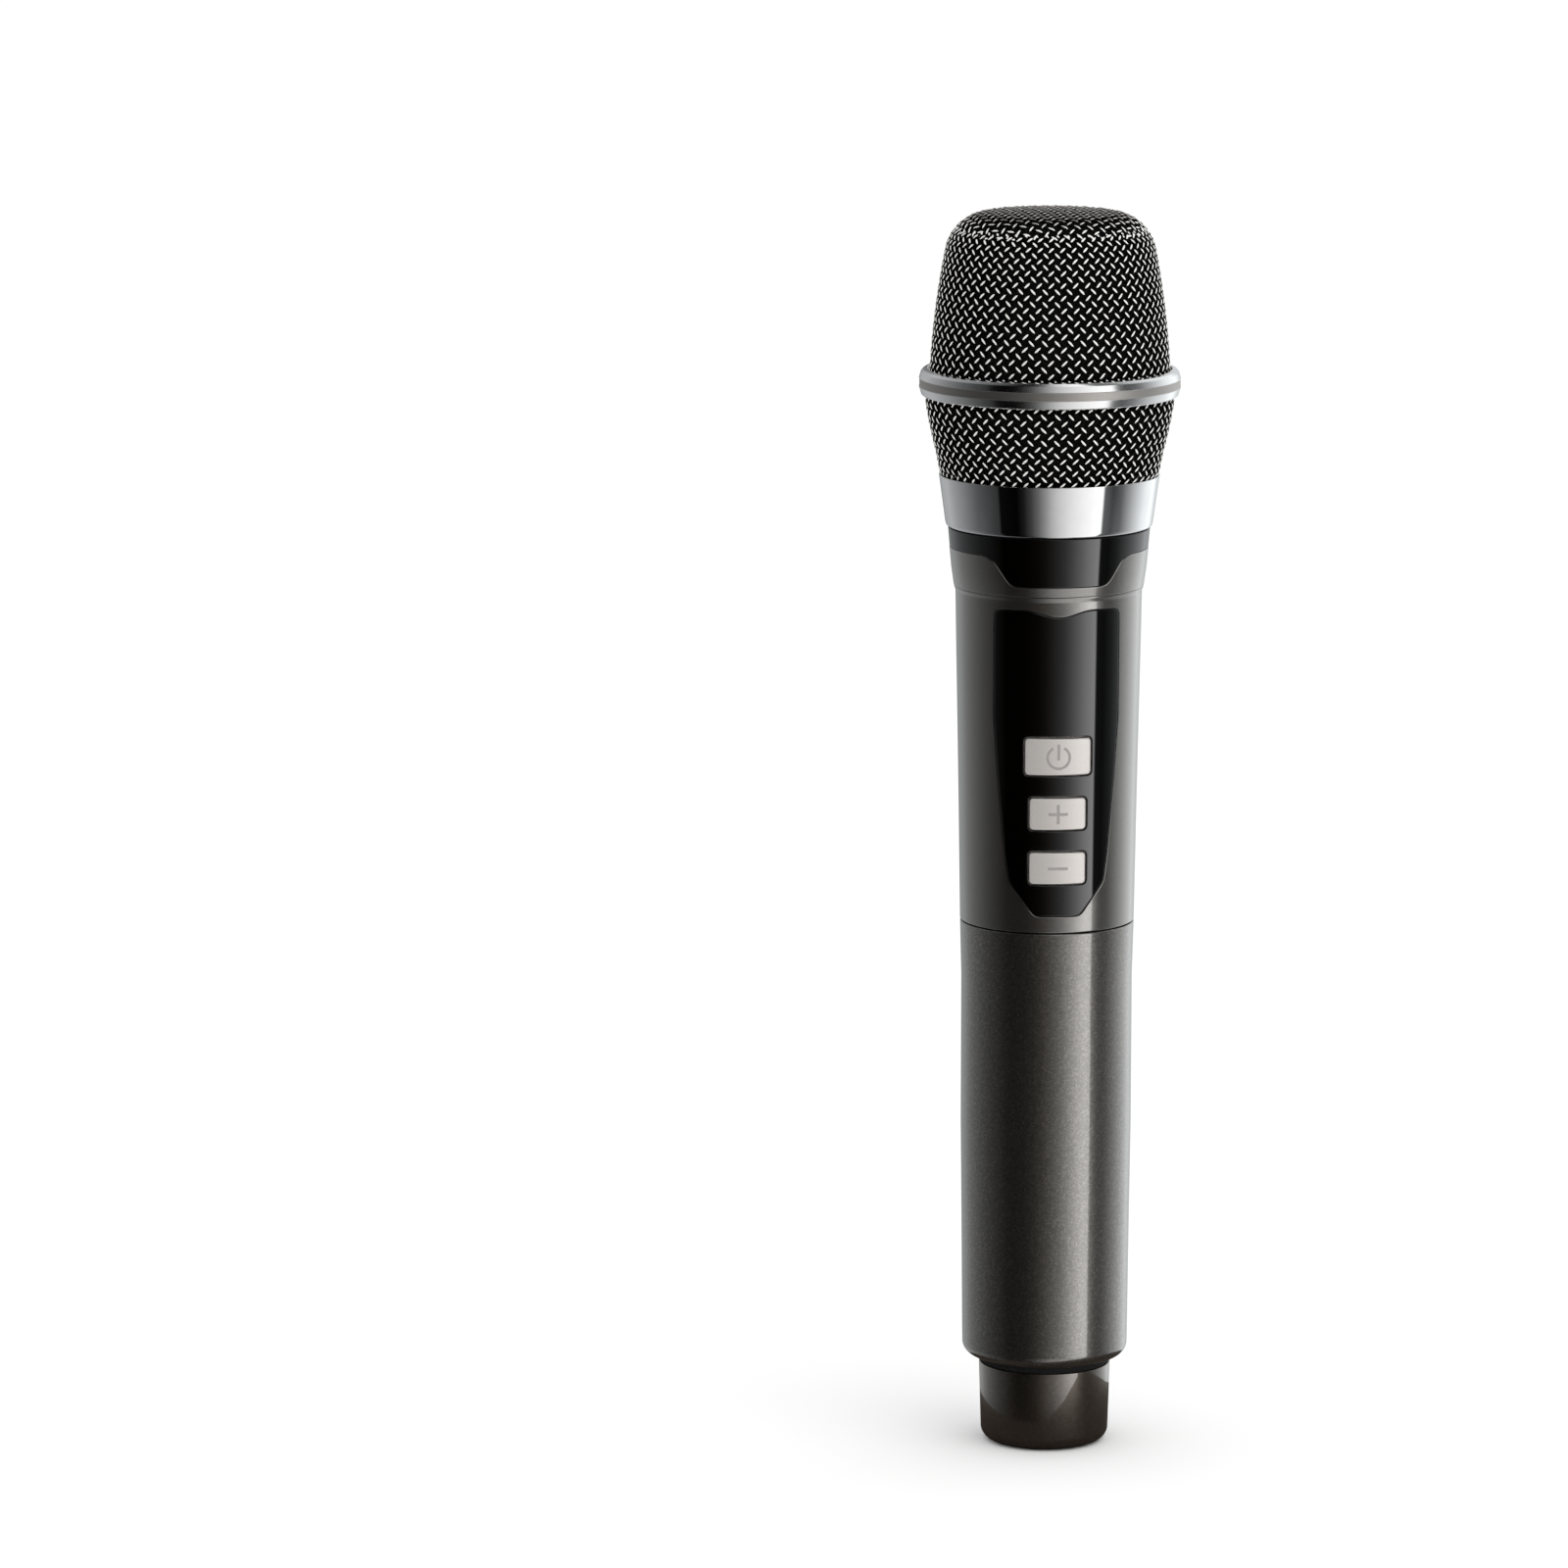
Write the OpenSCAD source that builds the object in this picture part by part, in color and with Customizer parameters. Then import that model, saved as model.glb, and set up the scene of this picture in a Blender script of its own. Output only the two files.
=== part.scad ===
// Handheld wireless karaoke microphone.
// Millimetres. The long axis is Z, the tail's foot rests on z = 0, and the buttons face -Y.

/* [Overall] */
// Height of the whole microphone, tail foot to grille top
total_h = 250.5; // [248:0.5:252]
// Height of the seam where the battery sleeve meets the upper barrel
seam_z = 107.5; // [106:0.5:109]
// Width of the dark line left between two parts that unscrew
seam_gap = 0.3; // [0.2:0.05:0.5]

/* [Barrel] */
// Wall of the upper barrel
barrel_wall = 2.3; // [2:0.1:2.5]
// Wall of the battery sleeve
sleeve_wall = 1.4; // [1.2:0.1:1.6]
// Radius of the straight stretch that a stand's clip grips
grip_r = 17.2; // [17:0.05:17.3]
// Lower end of the straight stretch
grip_z0 = 66; // [62:1:70]
// Upper end of the straight stretch
grip_z1 = 96; // [92:1:98]

/* [Tail] */
// Radius of the tail's foot edge
tail_foot_r = 12.9; // [12.5:0.1:13]
// Radius of the tail where it enters the sleeve
tail_top_r = 13.3; // [13:0.1:13.4]
// Height of the tail below the black ring
tail_h = 16.2; // [15:0.1:17]
// Radius of the opening that the sleeve slides over the tail with
mouth_r = 14.1; // [13.9:0.1:14.3]

/* [Head] */
// Height of the joint between the black neck band and the chrome collar
neck_z = 187.1; // [186:0.1:188]
// Height of the chrome collar's upper lip
collar_z = 197.7; // [197:0.1:198.5]
// Outer radius of the grille's ring
ring_r = 26.1; // [25.8:0.1:26.5]
// Underside of the grille's ring
ring_z0 = 213.5; // [213:0.1:214]
// Top of the grille's ring
ring_z1 = 218.9; // [218.5:0.1:219.5]
// Thickness of the woven wire
mesh_wall = 0.9; // [0.7:0.1:1]
// Radius of the grille's upper corner
dome_corner_r = 9; // [8:0.5:10]
// Rise of the grille's top in its middle
dome_crown = 0.4; // [0.2:0.1:0.8]

/* [Controls] */
// Half the width of the black control panel at its top
panel_half_w = 12.4; // [12:0.1:12.8]
// Height of the control panel's shoulders
panel_top_z = 172.6; // [172:0.1:173]
// Height of the control panel's lower edge
panel_bottom_z = 111; // [110:0.5:112]
// How far the buttons stand proud of the barrel
button_proud = 0.35; // [0.2:0.05:0.5]
// Travel of a button
button_travel = 0.5; // [0.3:0.05:0.6]
// Gap round a button in the control panel
button_gap = 0.35; // [0.3:0.05:0.45]
// Width of the power button
power_w = 13; // [12:0.1:13.5]
// Height of the power button
power_h = 7.3; // [7:0.1:7.5]
// Width of the volume buttons
volume_w = 11.1; // [10:0.1:11.5]
// Height of the volume buttons
volume_h = 6.3; // [6:0.1:6.5]

/* [Battery] */
// Radius of an AA cell
cell_r = 7.15; // [7:0.05:7.25]
// Length of an AA cell without its nipple
cell_len = 49.2; // [48.5:0.1:49.5]
// Height of the cell's nipple
nipple_h = 1.2; // [1:0.1:1.4]

/* [Hidden] */

$fn = 96;
eps = 0.02;
fit_gap = 0.1;

paint = [0.25, 0.24, 0.24];
gloss_black = [0.03, 0.03, 0.03];
soft_black = [0.08, 0.08, 0.08];
silver = [0.78, 0.75, 0.72];
chrome = [0.85, 0.85, 0.86];
steel = [0.6, 0.6, 0.62];
board_green = [0.05, 0.3, 0.15];
copper = [0.75, 0.42, 0.22];

// Outer radius of the painted barrel and neck at each height, as [height, radius].
barrel = [
  [20.4, 16.7], [23.6, 16.75], [45, 16.95], [grip_z0, grip_r], [grip_z1, grip_r],
  [107.5, 17.5], [130, 17.85], [143, 18.08], [164.6, 18.5], [174.4, 18.66]
];
neck = [[175.4, 19.0], [177.7, 19.4], [182.4, 19.85], [neck_z, 20.2]];
collar = [
  [neck_z + seam_gap, 20.2], [188.2, 20.75], [190, 20.98], [192, 21.25], [195.2, 21.8],
  [collar_z, 22.05]
];
cup = [
  [collar_z - 2, 21.2], [collar_z, 21.75], [198.6, 22.15], [202, 22.8], [205, 23.55],
  [208, 24.2], [211.6, 24.85], [ring_z0 + 2, 25.1]
];

// Grille dome: the side leans in on a slow curve and meets the top in a round corner.
dome_z0 = 217.2;
dome_corner_z = total_h - dome_crown - dome_corner_r;
dome_lean0 = 0.06;
dome_bend = 0.003;
function dome_side(z) = 24.02 - dome_lean0 * (z - 220) - dome_bend * pow(max(0, z - 220), 2);
dome_lean = atan(dome_lean0 + 2 * dome_bend * (dome_corner_z - 220));
dome_corner_x = dome_side(dome_corner_z + dome_corner_r * sin(dome_lean))
  - dome_corner_r * cos(dome_lean);
dome_steps = 8;

panel_depth = 1.5;
panel_ledge = 1;
panel_wave_half = 6.8;
panel_dip = 1.35;
panel_corner = 1.4;
button_lip = 0.8;
button_corner = 0.7;
power_z = 143.35;
plus_z = 131.8;
minus_z = 120.8;
power = [power_z, power_w, power_h];
plus = [plus_z, volume_w, volume_h];
minus = [minus_z, volume_w, volume_h];
buttons = [power, plus, minus];

board_front_y = -10;
board_t = 1.6;
board_half_w = 10.2;
board_z0 = 88.6;
board_z1 = 173;
screw_x = 6.5;
screw_z = [board_z0 + 14, board_z1 - 6];
switch_h = 3.3;
plunger_len = 1.3;
plunger_r = 1.7;
plunger_seat = 1.7 + button_travel;
frame_r = 14.9;
thread_r = 15.6;
thread_gap = 0.2;
spigot_r = 17.9;
spigot_bore_r = 16.2;
spigot_z1 = 196.4;
head_bore_r = 18.1;

// The cells stand side by side between two contact plates, each with a spring at its flat end.
cell_x = 7.3;
contact_t = 0.5;
spring_wire = 0.4;
spring_turns = 5;
spring_pitch = 1.9 * spring_wire;
spring_h = 2 * spring_wire + (spring_turns - 1) * spring_pitch;
tray_r = 14.95;
tray_z0 = 20;
bay_z0 = tray_z0 + 3.4;
bay_z1 = bay_z0 + 2 * contact_t + spring_h + cell_len + nipple_h;
tray_z1 = bay_z1 + 5.4;

capsule_z0 = 203;
capsule_z1 = 224;
capsule_r = 12.6;
chamber_r = 10.4;
chamber_z0 = 186;

// Points of a [height, radius] table between two heights, as [radius + d, height].
function run(table, z0, z1, d) = concat(
  [[lookup(z0, table) + d, z0]],
  [for (p = table) if (p[0] > z0 && p[0] < z1) [p[1] + d, p[0]]],
  [[lookup(z1, table) + d, z1]]
);
function backwards(list) = [for (i = [len(list) - 1 : -1 : 0]) list[i]];

// Revolved skin that follows a table from d_in to d_out of its radius.
module skin(table, z0, z1, d_in, d_out) {
  rotate_extrude()
    polygon(concat(run(table, z0, z1, d_out), backwards(run(table, z0, z1, d_in))));
}

// Plain ring.
module ring(r_in, r_out, z0, z1) {
  translate([0, 0, z0])
    difference() {
      cylinder(r = r_out, h = z1 - z0);
      translate([0, 0, -1]) cylinder(r = r_in, h = z1 - z0 + 2);
    }
}

module disc(r, z0, z1) {
  translate([0, 0, z0]) cylinder(r = r, h = z1 - z0);
}

// Block between two corners.
module block(low, high) {
  translate(low) cube(high - low);
}

// Carries a flat outline drawn in X and Z out of the front, from y = -y0 to y = -y1.
module to_front(y0, y1) {
  translate([0, -y0, 0]) rotate([90, 0, 0]) linear_extrude(y1 - y0) children();
}

module rounded_rect(w, h, r) {
  square([w - 2 * r, h], center = true);
  square([w, h - 2 * r], center = true);
  for (x = [-1, 1], y = [-1, 1])
    translate([x * (w / 2 - r), y * (h / 2 - r)]) circle(r = r, $fn = 32);
}

// Outline of the control panel, grown by m: a wavy top, straight sides that narrow
// downwards, and two cut corners at the bottom.
function panel_side(m) = [
  [4.5 + m / 2, panel_bottom_z - m], [9.5 + m, 117.6], [10.3 + m, 123.4],
  [11.6 + m, 138.7], [panel_half_w + m, 151],
  [panel_half_w + m, panel_top_z - panel_corner + m]
];
function panel_corner_arc(m) = [for (a = [15 : 15 : 75])
  [panel_half_w + m - panel_corner * (1 - cos(a)), panel_top_z + m - panel_corner * (1 - sin(a))]];
function panel_wave(m) = [for (i = [0 : 8])
  let(x = panel_wave_half * (1 - i / 8))
  [x, panel_top_z + m - panel_dip * (1 + cos(180 * x / panel_wave_half)) / 2]];
function panel_half(m) = concat(
  panel_side(m), panel_corner_arc(m),
  [[panel_half_w + m - panel_corner, panel_top_z + m]], panel_wave(m)
);
function mirrored(half) = concat(half, [for (p = backwards(half)) if (p[0] > eps) [-p[0], p[1]]]);

module panel_outline(m) {
  polygon(mirrored(panel_half(m)));
}

// Outline of the black band's bib below the band's lower edge.
function bib_half(m) = [
  [8.6, 177.4 - m], [9.3 + m / 2, 177.5 - m], [9.9 + m, 177.9 - m], [11.7 + m, 180.6 - m],
  [12.4 + m, 181.8 - m], [13.2 + m, 182.6 - m], [14.6 + m, band_z - m], [14.6 + m, band_z + 1]
];
band_z = 183.2;

module bib_outline(m) {
  polygon(mirrored(bib_half(m)));
}

// Everything that a front panel or button outline cuts out of the barrel's skin.
module on_front(table, z0, z1, d_in, d_out) {
  intersection() {
    skin(table, z0, z1, d_in, d_out);
    to_front(8, 24) children();
  }
}

// ---- handle: casings ----

module upper_body_shell() {
  color(paint)
    difference() {
      union() {
        skin(barrel, seam_z + seam_gap / 2, 174.4, -barrel_wall, 0);
        rotate_extrude() polygon([
          [lookup(174.4, barrel) - barrel_wall, 174.4 - eps], [lookup(174.4, barrel), 174.4 - eps],
          [18.95, 175.2], [18.95, 175.4], [16.4, 175.4]
        ]);
      }
      to_front(8, 24) panel_outline(-panel_ledge);
      difference() {
        to_front(8, 24) panel_outline(fit_gap);
        skin(barrel, 100, 174.4, -barrel_wall - 2, -panel_depth - eps);
      }
    }
}

module neck_shell() {
  color(paint)
    difference() {
      skin(neck, 175.4, neck_z, -2.4, 0);
      difference() {
        union() {
          ring(18, 24, band_z - fit_gap / 2, neck_z + 1);
          to_front(8, 24) bib_outline(fit_gap / 2);
        }
        skin(neck, 175.4, neck_z, -4, -0.8 - eps);
      }
    }
}

module neck_trim() {
  color(gloss_black)
    union() {
      skin(neck, band_z, neck_z, -0.8, 0);
      on_front(neck, 177, band_z + 0.5, -0.8, 0) bib_outline(0);
    }
}

module head_thread_ring() {
  color(soft_black)
    union() {
      ring(spigot_bore_r, spigot_r, neck_z, spigot_z1);
      ring(spigot_bore_r - 0.6, 17.2, neck_z - 3, neck_z + eps);
      ring(frame_r + eps, 16.3, 173.6, neck_z - 2.5);
    }
}

module control_fascia() {
  color(gloss_black)
    difference() {
      on_front(barrel, panel_bottom_z - 1, panel_top_z + 1, -panel_depth, 0) panel_outline(0);
      for (b = buttons)
        to_front(8, 24) translate([0, b[0]])
          rounded_rect(b[1] + 2 * button_gap, b[2] + 2 * button_gap, button_corner + button_gap);
    }
}

// ---- handle: board and what is on it ----

module display_module() {
  color(soft_black)
    difference() {
      block([-7, -13.8, 151.4], [7, board_front_y, 164.4]);
      block([-6, -15, 152.6], [6, -13.4, 163.2]);
    }
}

module main_board() {
  color(board_green)
    difference() {
      block([-board_half_w, board_front_y, board_z0],
            [board_half_w, board_front_y + board_t, board_z1]);
      screw_places() cylinder(r = 1.2, h = 10, center = true);
    }
}

module screw_places() {
  for (x = [-1, 1], z = screw_z)
    translate([x * screw_x, board_front_y, z]) rotate([90, 0, 0]) children();
}

module button_switches() {
  color(steel)
    for (b = buttons)
      difference() {
        block([-3, board_front_y - switch_h, b[0] - 3], [3, board_front_y, b[0] + 3]);
        translate([0, board_front_y, b[0]]) rotate([90, 0, 0])
          cylinder(r = plunger_r + 0.15, h = 20);
      }
}

module rf_shield_can() {
  color(steel)
    difference() {
      block([-7, board_front_y + board_t, 118], [7, board_front_y + board_t + 3, 136]);
      block([-6.6, board_front_y, 118.4], [6.6, board_front_y + board_t + 2.6, 135.6]);
    }
}

module controller_chip() {
  color(soft_black)
    block([-4, board_front_y + board_t, 142], [4, board_front_y + board_t + 1.4, 150]);
}

module board_capacitors() {
  color(steel)
    for (x = [-5, 0, 5])
      translate([x, board_front_y + board_t, 110]) rotate([-90, 0, 0]) cylinder(r = 2, h = 5.4);
}

module board_screws() {
  color(steel)
    screw_places() {
      cylinder(r = 1, h = 5.4, center = true);
      difference() {
        cylinder(r = 1.9, h = 1.3);
        translate([0, 0, 0.7]) cube([2.6, 0.5, 1.4], center = true);
        translate([0, 0, 0.7]) cube([0.5, 2.6, 1.4], center = true);
      }
    }
}

// Half tube behind the board, with screw posts, a shelf for the board and round ends.
module chassis_frame() {
  rib = 1.5;
  color(soft_black)
    difference() {
      union() {
        difference() {
          ring(frame_r - rib, frame_r, tray_z1 + 2, 177);
          block([-20, -20, tray_z1 + 4], [20, -6, 173.5]);
        }
        difference() {
          disc(frame_r, tray_z1, tray_z1 + 2.2);
          block([-3, 4, tray_z1 - 1], [3, 12, tray_z1 + 4]);
        }
        screw_places() translate([0, 0, -board_t - 6]) cylinder(r = 2.2, h = 6);
        for (z = screw_z) intersection() {
          block([-20, board_front_y + board_t + 2.5, z - 2], [20, -2, z + 2]);
          disc(frame_r - 0.5, z - 5, z + 5);
        }
      }
      screw_places() cylinder(r = 1 + eps, h = 16, center = true);
      for (z = [104 : 22 : 150]) block([-6, 5, z], [6, 20, z + 14]);
    }
}

// ---- handle: battery end ----

module body_thread_ring() {
  color(soft_black)
    union() {
      ring(frame_r + eps, thread_r, 99.5, seam_z - 0.6);
      ring(frame_r + eps, 15.15, seam_z - 1, seam_z + 6);
    }
}

module battery_tray() {
  color(soft_black)
    difference() {
      union() {
        disc(tray_r, tray_z0, tray_z1);
        disc(12.2, 17.9, tray_z0 + 1);
      }
      for (side = [-1, 1]) {
        translate([side * cell_x, 0, bay_z0]) cylinder(r = cell_r + 0.12, h = bay_z1 - bay_z0);
        block([side * cell_x - cell_r, -20, bay_z0], [side * cell_x + cell_r, 0, bay_z1]);
      }
      block([-20, -20, bay_z0], [20, -2.5, bay_z1]);
      block([-2, 9, tray_z0 - 4], [2, 20, tray_z1 + 1]);
      block([-0.9, 3, tray_z0 - 4], [0.9, 10, tray_z0 - 0.2]);
      block([-3, 5.8, bay_z1 - 1], [3, 8.2, tray_z1 + 1]);
      disc(5, 0, tray_z0 + 1.8);
    }
}

// AA cell that stands on its flat end at the origin, with a crimp line near each end.
module battery_cell() {
  difference() {
    cylinder(r = cell_r, h = cell_len);
    for (z = [1.2, cell_len - 1.6]) ring(cell_r - 0.15, cell_r + 1, z, z + 0.3);
  }
  translate([0, 0, cell_len - eps]) cylinder(r = 2.7, h = nipple_h + eps);
}

module battery_cell_left() {
  color(chrome) translate([-cell_x, 0, bay_z0 + contact_t + spring_h]) battery_cell();
}

module battery_cell_right() {
  color(silver)
    translate([cell_x, 0, bay_z1 - contact_t - spring_h]) rotate([180, 0, 0]) battery_cell();
}

// Turns of wire that lie on a cone, each resting on the one before.
module battery_spring() {
  for (i = [0 : spring_turns - 1])
    translate([0, 0, spring_wire + i * spring_pitch])
      rotate_extrude() translate([5 - 0.3 * i, 0]) circle(r = spring_wire, $fn = 24);
}

module battery_springs() {
  color(steel) {
    translate([-cell_x, 0, bay_z0 + contact_t]) battery_spring();
    translate([cell_x, 0, bay_z1 - contact_t]) rotate([180, 0, 0]) battery_spring();
  }
}

module battery_contacts() {
  color(steel)
    for (side = [-1, 1], z = [bay_z0, bay_z1 - contact_t])
      translate([side * cell_x - 5, -4.8, z]) cube([10, 9.6, contact_t]);
}

// Straight length of wire between two points on a line along X, Y or Z, with round ends.
module wire_run(from, to, r) {
  v = to - from;
  translate(from) {
    rotate([v[1] < 0 ? 90 : v[1] > 0 ? -90 : v[2] < 0 ? 180 : 0, 0, 0])
      cylinder(r = r, h = norm(v), $fn = 24);
    sphere(r = r, $fn = 24);
  }
  translate(to) sphere(r = r, $fn = 24);
}

module battery_leads() {
  lead_r = 0.6;
  for (side = [-1, 1])
    color(side < 0 ? soft_black : "red") {
      wire_run([side * 1.6, 7, bay_z1 + 0.6], [side * 1.6, 7, 91], lead_r);
      wire_run([side * 1.6, 7, 91], [side * 1.6, board_front_y + board_t + lead_r, 91], lead_r);
    }
}

module tail_cap() {
  foot_round = 2.6;
  wall = 1.5;
  color(paint)
    rotate_extrude() polygon(concat(
      [[0, 0]],
      [for (a = [-90 : 15 : 0])
        [tail_foot_r - foot_round + foot_round * cos(a), foot_round + foot_round * sin(a)]],
      [[tail_top_r, tail_h], [tail_top_r - wall, tail_h], [tail_foot_r - wall, 3.4], [0, 3.4]]
    ));
}

module tail_ring() {
  color(gloss_black)
    union() {
      ring(10.6, 13, tail_h, 17.9);
      ring(10.6, tail_top_r - 1.65, tail_h - 2.5, tail_h + eps);
    }
}

module antenna_coil() {
  color(copper)
    for (i = [0 : 8])
      translate([0, 0, 5 + i * 1.15])
        rotate_extrude() translate([4.6, 0]) circle(r = 0.6, $fn = 24);
}

module antenna_lead() {
  color(soft_black)
    union() {
      wire_run([0, 4.6, 15.6], [0, 4.6, 18.9], 0.7);
      wire_run([0, 4.6, 18.9], [0, 10.6, 18.9], 0.7);
      wire_run([0, 10.6, 18.9], [0, 10.6, 94], 0.7);
      wire_run([0, 10.6, 94], [0, board_front_y + board_t + 0.7, 94], 0.7);
    }
}

// ---- handle: capsule ----

module capsule_shock_mount() {
  color(soft_black)
    rotate_extrude() polygon([
      [chamber_r + eps, 187.5], [13.2, 187.5], [13.2, 189], [spigot_bore_r - eps, 190.5],
      [spigot_bore_r - eps, 195.5], [14.4, 195.5], [14.4, 193], [12.6, 191.8], [12.6, 198.5],
      [chamber_r + eps, 198.5]
    ]);
}

module capsule_chamber() {
  color(soft_black)
    difference() {
      disc(chamber_r, chamber_z0, capsule_z0);
      disc(chamber_r - 1.4, chamber_z0 + 1.6, capsule_z0 + 1);
      for (a = [0 : 60 : 300])
        rotate([0, 0, a]) translate([5, 0, chamber_z0 - 1]) cylinder(r = 1, h = 4, $fn = 24);
    }
}

module capsule_housing() {
  color(steel)
    difference() {
      union() {
        disc(capsule_r, capsule_z0, capsule_z1 - 2);
        disc(chamber_r - 1.4 - eps, capsule_z0 - 3, capsule_z0 + eps);
      }
      disc(capsule_r - 1, capsule_z0 + 1.2, capsule_z1);
      disc(chamber_r - 2.4, capsule_z0 - 4, capsule_z0 + 2);
      for (a = [0 : 45 : 315])
        rotate([0, 0, a]) translate([0, 0, 214]) rotate([0, 90, 0]) cylinder(r = 1.3, h = 20, $fn = 24);
    }
}

module capsule_cover() {
  color(steel)
    difference() {
      union() {
        disc(capsule_r + 0.5, capsule_z1 - 1, capsule_z1);
        ring(capsule_r + eps, capsule_r + 0.5, capsule_z1 - 5, capsule_z1 - 1 + eps);
      }
      for (a = [0 : 30 : 330])
        rotate([0, 0, a]) translate([9, 0, 200]) cylinder(r = 1.2, h = 40, $fn = 24);
      for (a = [0 : 60 : 300])
        rotate([0, 0, a]) translate([5, 0, 200]) cylinder(r = 1.2, h = 40, $fn = 24);
      translate([0, 0, 200]) cylinder(r = 1.2, h = 40, $fn = 24);
    }
}

module capsule_diaphragm() {
  color(silver)
    rotate_extrude() polygon([
      [0, 222.3], [3, 222], [6, 220.9], [8.2, 220.6], [9.8, 221], [11.5, 220.6],
      [11.5, 220.45], [9.8, 220.85], [8.2, 220.45], [6, 220.75], [3, 221.85], [0, 222.15]
    ]);
}

module voice_coil() {
  color(copper) ring(6.9, 7.3, 216.4, 220.5);
}

module magnet() {
  color(steel) disc(5.6, capsule_z0 + 3, 215.4);
}

module pole_plate() {
  color(steel) disc(6.7, 215.4, 217.6);
}

module magnet_yoke() {
  color(steel)
    difference() {
      disc(9.2, capsule_z0 + 1.2, 217.6);
      disc(7.6, capsule_z0 + 3, 218);
    }
}

module terminal_board() {
  color(board_green)
    difference() {
      disc(8.8, chamber_z0 + 1.6, chamber_z0 + 2.8);
      for (a = [0 : 60 : 300])
        rotate([0, 0, a]) translate([5, 0, chamber_z0]) cylinder(r = 1, h = 4, $fn = 24);
    }
}

module capsule_leads() {
  lead_r = 0.5;
  lead_z = board_z1 - 3;
  for (x = [-5, 5])
    color(x < 0 ? soft_black : "red") {
      wire_run([x, board_front_y + board_t + lead_r, lead_z], [x, 0, lead_z], lead_r);
      wire_run([x, 0, lead_z], [x, 0, chamber_z0 + 1.6 - lead_r], lead_r);
    }
}

// ---- buttons ----

// Cap in the panel's window, a lip behind the panel that stops it, and a post to its switch.
module button(b) {
  color(silver)
    union() {
      on_front(barrel, b[0] - 6, b[0] + 6, -panel_depth - 0.6, button_proud)
        translate([0, b[0]]) rounded_rect(b[1], b[2], button_corner);
      on_front(barrel, b[0] - 6, b[0] + 6, -panel_depth - 0.9, -panel_depth - 0.05)
        translate([0, b[0]])
          rounded_rect(b[1] + 2 * button_lip, b[2] + 2 * button_lip, button_corner);
      intersection() {
        translate([0, -post_y, b[0]]) rotate([90, 0, 0]) cylinder(r = 1.6, h = 3);
        skin(barrel, b[0] - 6, b[0] + 6, -6, -panel_depth);
      }
    }
}
post_y = -board_front_y + switch_h + plunger_len;

module plunger(b) {
  color(soft_black)
    translate([0, board_front_y - plunger_seat, b[0]]) rotate([90, 0, 0])
      cylinder(r = plunger_r, h = switch_h + plunger_len - plunger_seat);
}

module power_button() {
  button(power);
}

module plus_button() {
  button(plus);
}

module minus_button() {
  button(minus);
}

module power_plunger() {
  plunger(power);
}

module plus_plunger() {
  plunger(plus);
}

module minus_plunger() {
  plunger(minus);
}

// ---- battery sleeve and its rings ----

module tail_grommet() {
  color(gloss_black) ring(tail_top_r + 0.25, mouth_r - eps, 18.1, 19.9);
}

module sleeve_o_ring() {
  color(soft_black)
    translate([0, 0, 98.2]) rotate_extrude() translate([15.45, 0]) circle(r = 0.35, $fn = 24);
}

// Cup with a round shoulder at the bottom, open over the tail, and a wide open top.
module battery_sleeve() {
  round_r = 2.5;
  z_in = 19.9;
  bore_r = lookup(20.4, barrel) - sleeve_wall;
  top_r = thread_r + thread_gap + 0.7;
  color(paint)
    rotate_extrude() polygon(concat(
      [[mouth_r, 17.8]],
      [for (a = [-90 : 15 : -15])
        [lookup(20.4, barrel) - round_r + round_r * cos(a), 17.8 + round_r + round_r * sin(a)]],
      run(barrel, 20.4, seam_z - seam_gap / 2 - 0.3, 0),
      [[lookup(seam_z, barrel) - 0.25, seam_z - seam_gap / 2]],
      [[top_r, seam_z - seam_gap / 2], [top_r, 100], [bore_r + 0.55, 99], [bore_r + 0.55, 97.6],
       [bore_r, 97.6], [bore_r, z_in], [mouth_r, z_in]]
    ));
}

module sleeve_thread_ring() {
  color(steel)
    ring(thread_r + thread_gap, thread_r + thread_gap + 0.7 - eps, 100.1, seam_z - 0.8);
}

// ---- head ----

module head_gasket() {
  color(soft_black) ring(head_bore_r + 0.3, 19.7, neck_z + eps, neck_z + seam_gap - eps);
}

module foam_windscreen() {
  gap = 0.25;
  foam = 2.6;
  d = -mesh_wall - gap;
  color(soft_black)
    rotate_extrude() polygon(concat(
      run(cup, collar_z + 1, 212.4, d),
      [[22.15, 213.8], [22.15, 217.4]],
      [for (z = [218.6 : 6 : 236]) [dome_side(z) + d, z]],
      dome_corner(d),
      [[0, total_h + d]],
      [[0, total_h + d - foam], [dome_corner_x, total_h - dome_crown + d - foam]],
      [[dome_side(236) + d - foam, 236], [22.15 - foam, 215.6]],
      [[lookup(collar_z + 1, cup) + d - foam, collar_z + 1]]
    ));
}

// Round corner and crown of the dome, moved out by d.
function dome_corner(d) = concat(
  [for (a = [dome_lean : (90 - dome_lean) / dome_steps : 90.01])
    [dome_corner_x + (dome_corner_r + d) * cos(a), dome_corner_z + (dome_corner_r + d) * sin(a)]]
);

module chrome_collar() {
  inner = head_bore_r;
  color(chrome)
    rotate_extrude() polygon(concat(
      run(collar, neck_z + seam_gap, collar_z, 0),
      [[lookup(collar_z, cup), collar_z], [lookup(collar_z - 2, cup), collar_z - 2],
       [lookup(collar_z - 2, cup) - mesh_wall, collar_z - 2],
       [lookup(collar_z - 2, cup) - mesh_wall, collar_z - 0.6], [inner, collar_z - 1.4],
       [inner, neck_z + seam_gap]]
    ));
}

module grille_cup() {
  color(steel)
    skin(cup, collar_z - 2 + eps, ring_z0 + 2 - eps, -mesh_wall, -eps);
}

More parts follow.
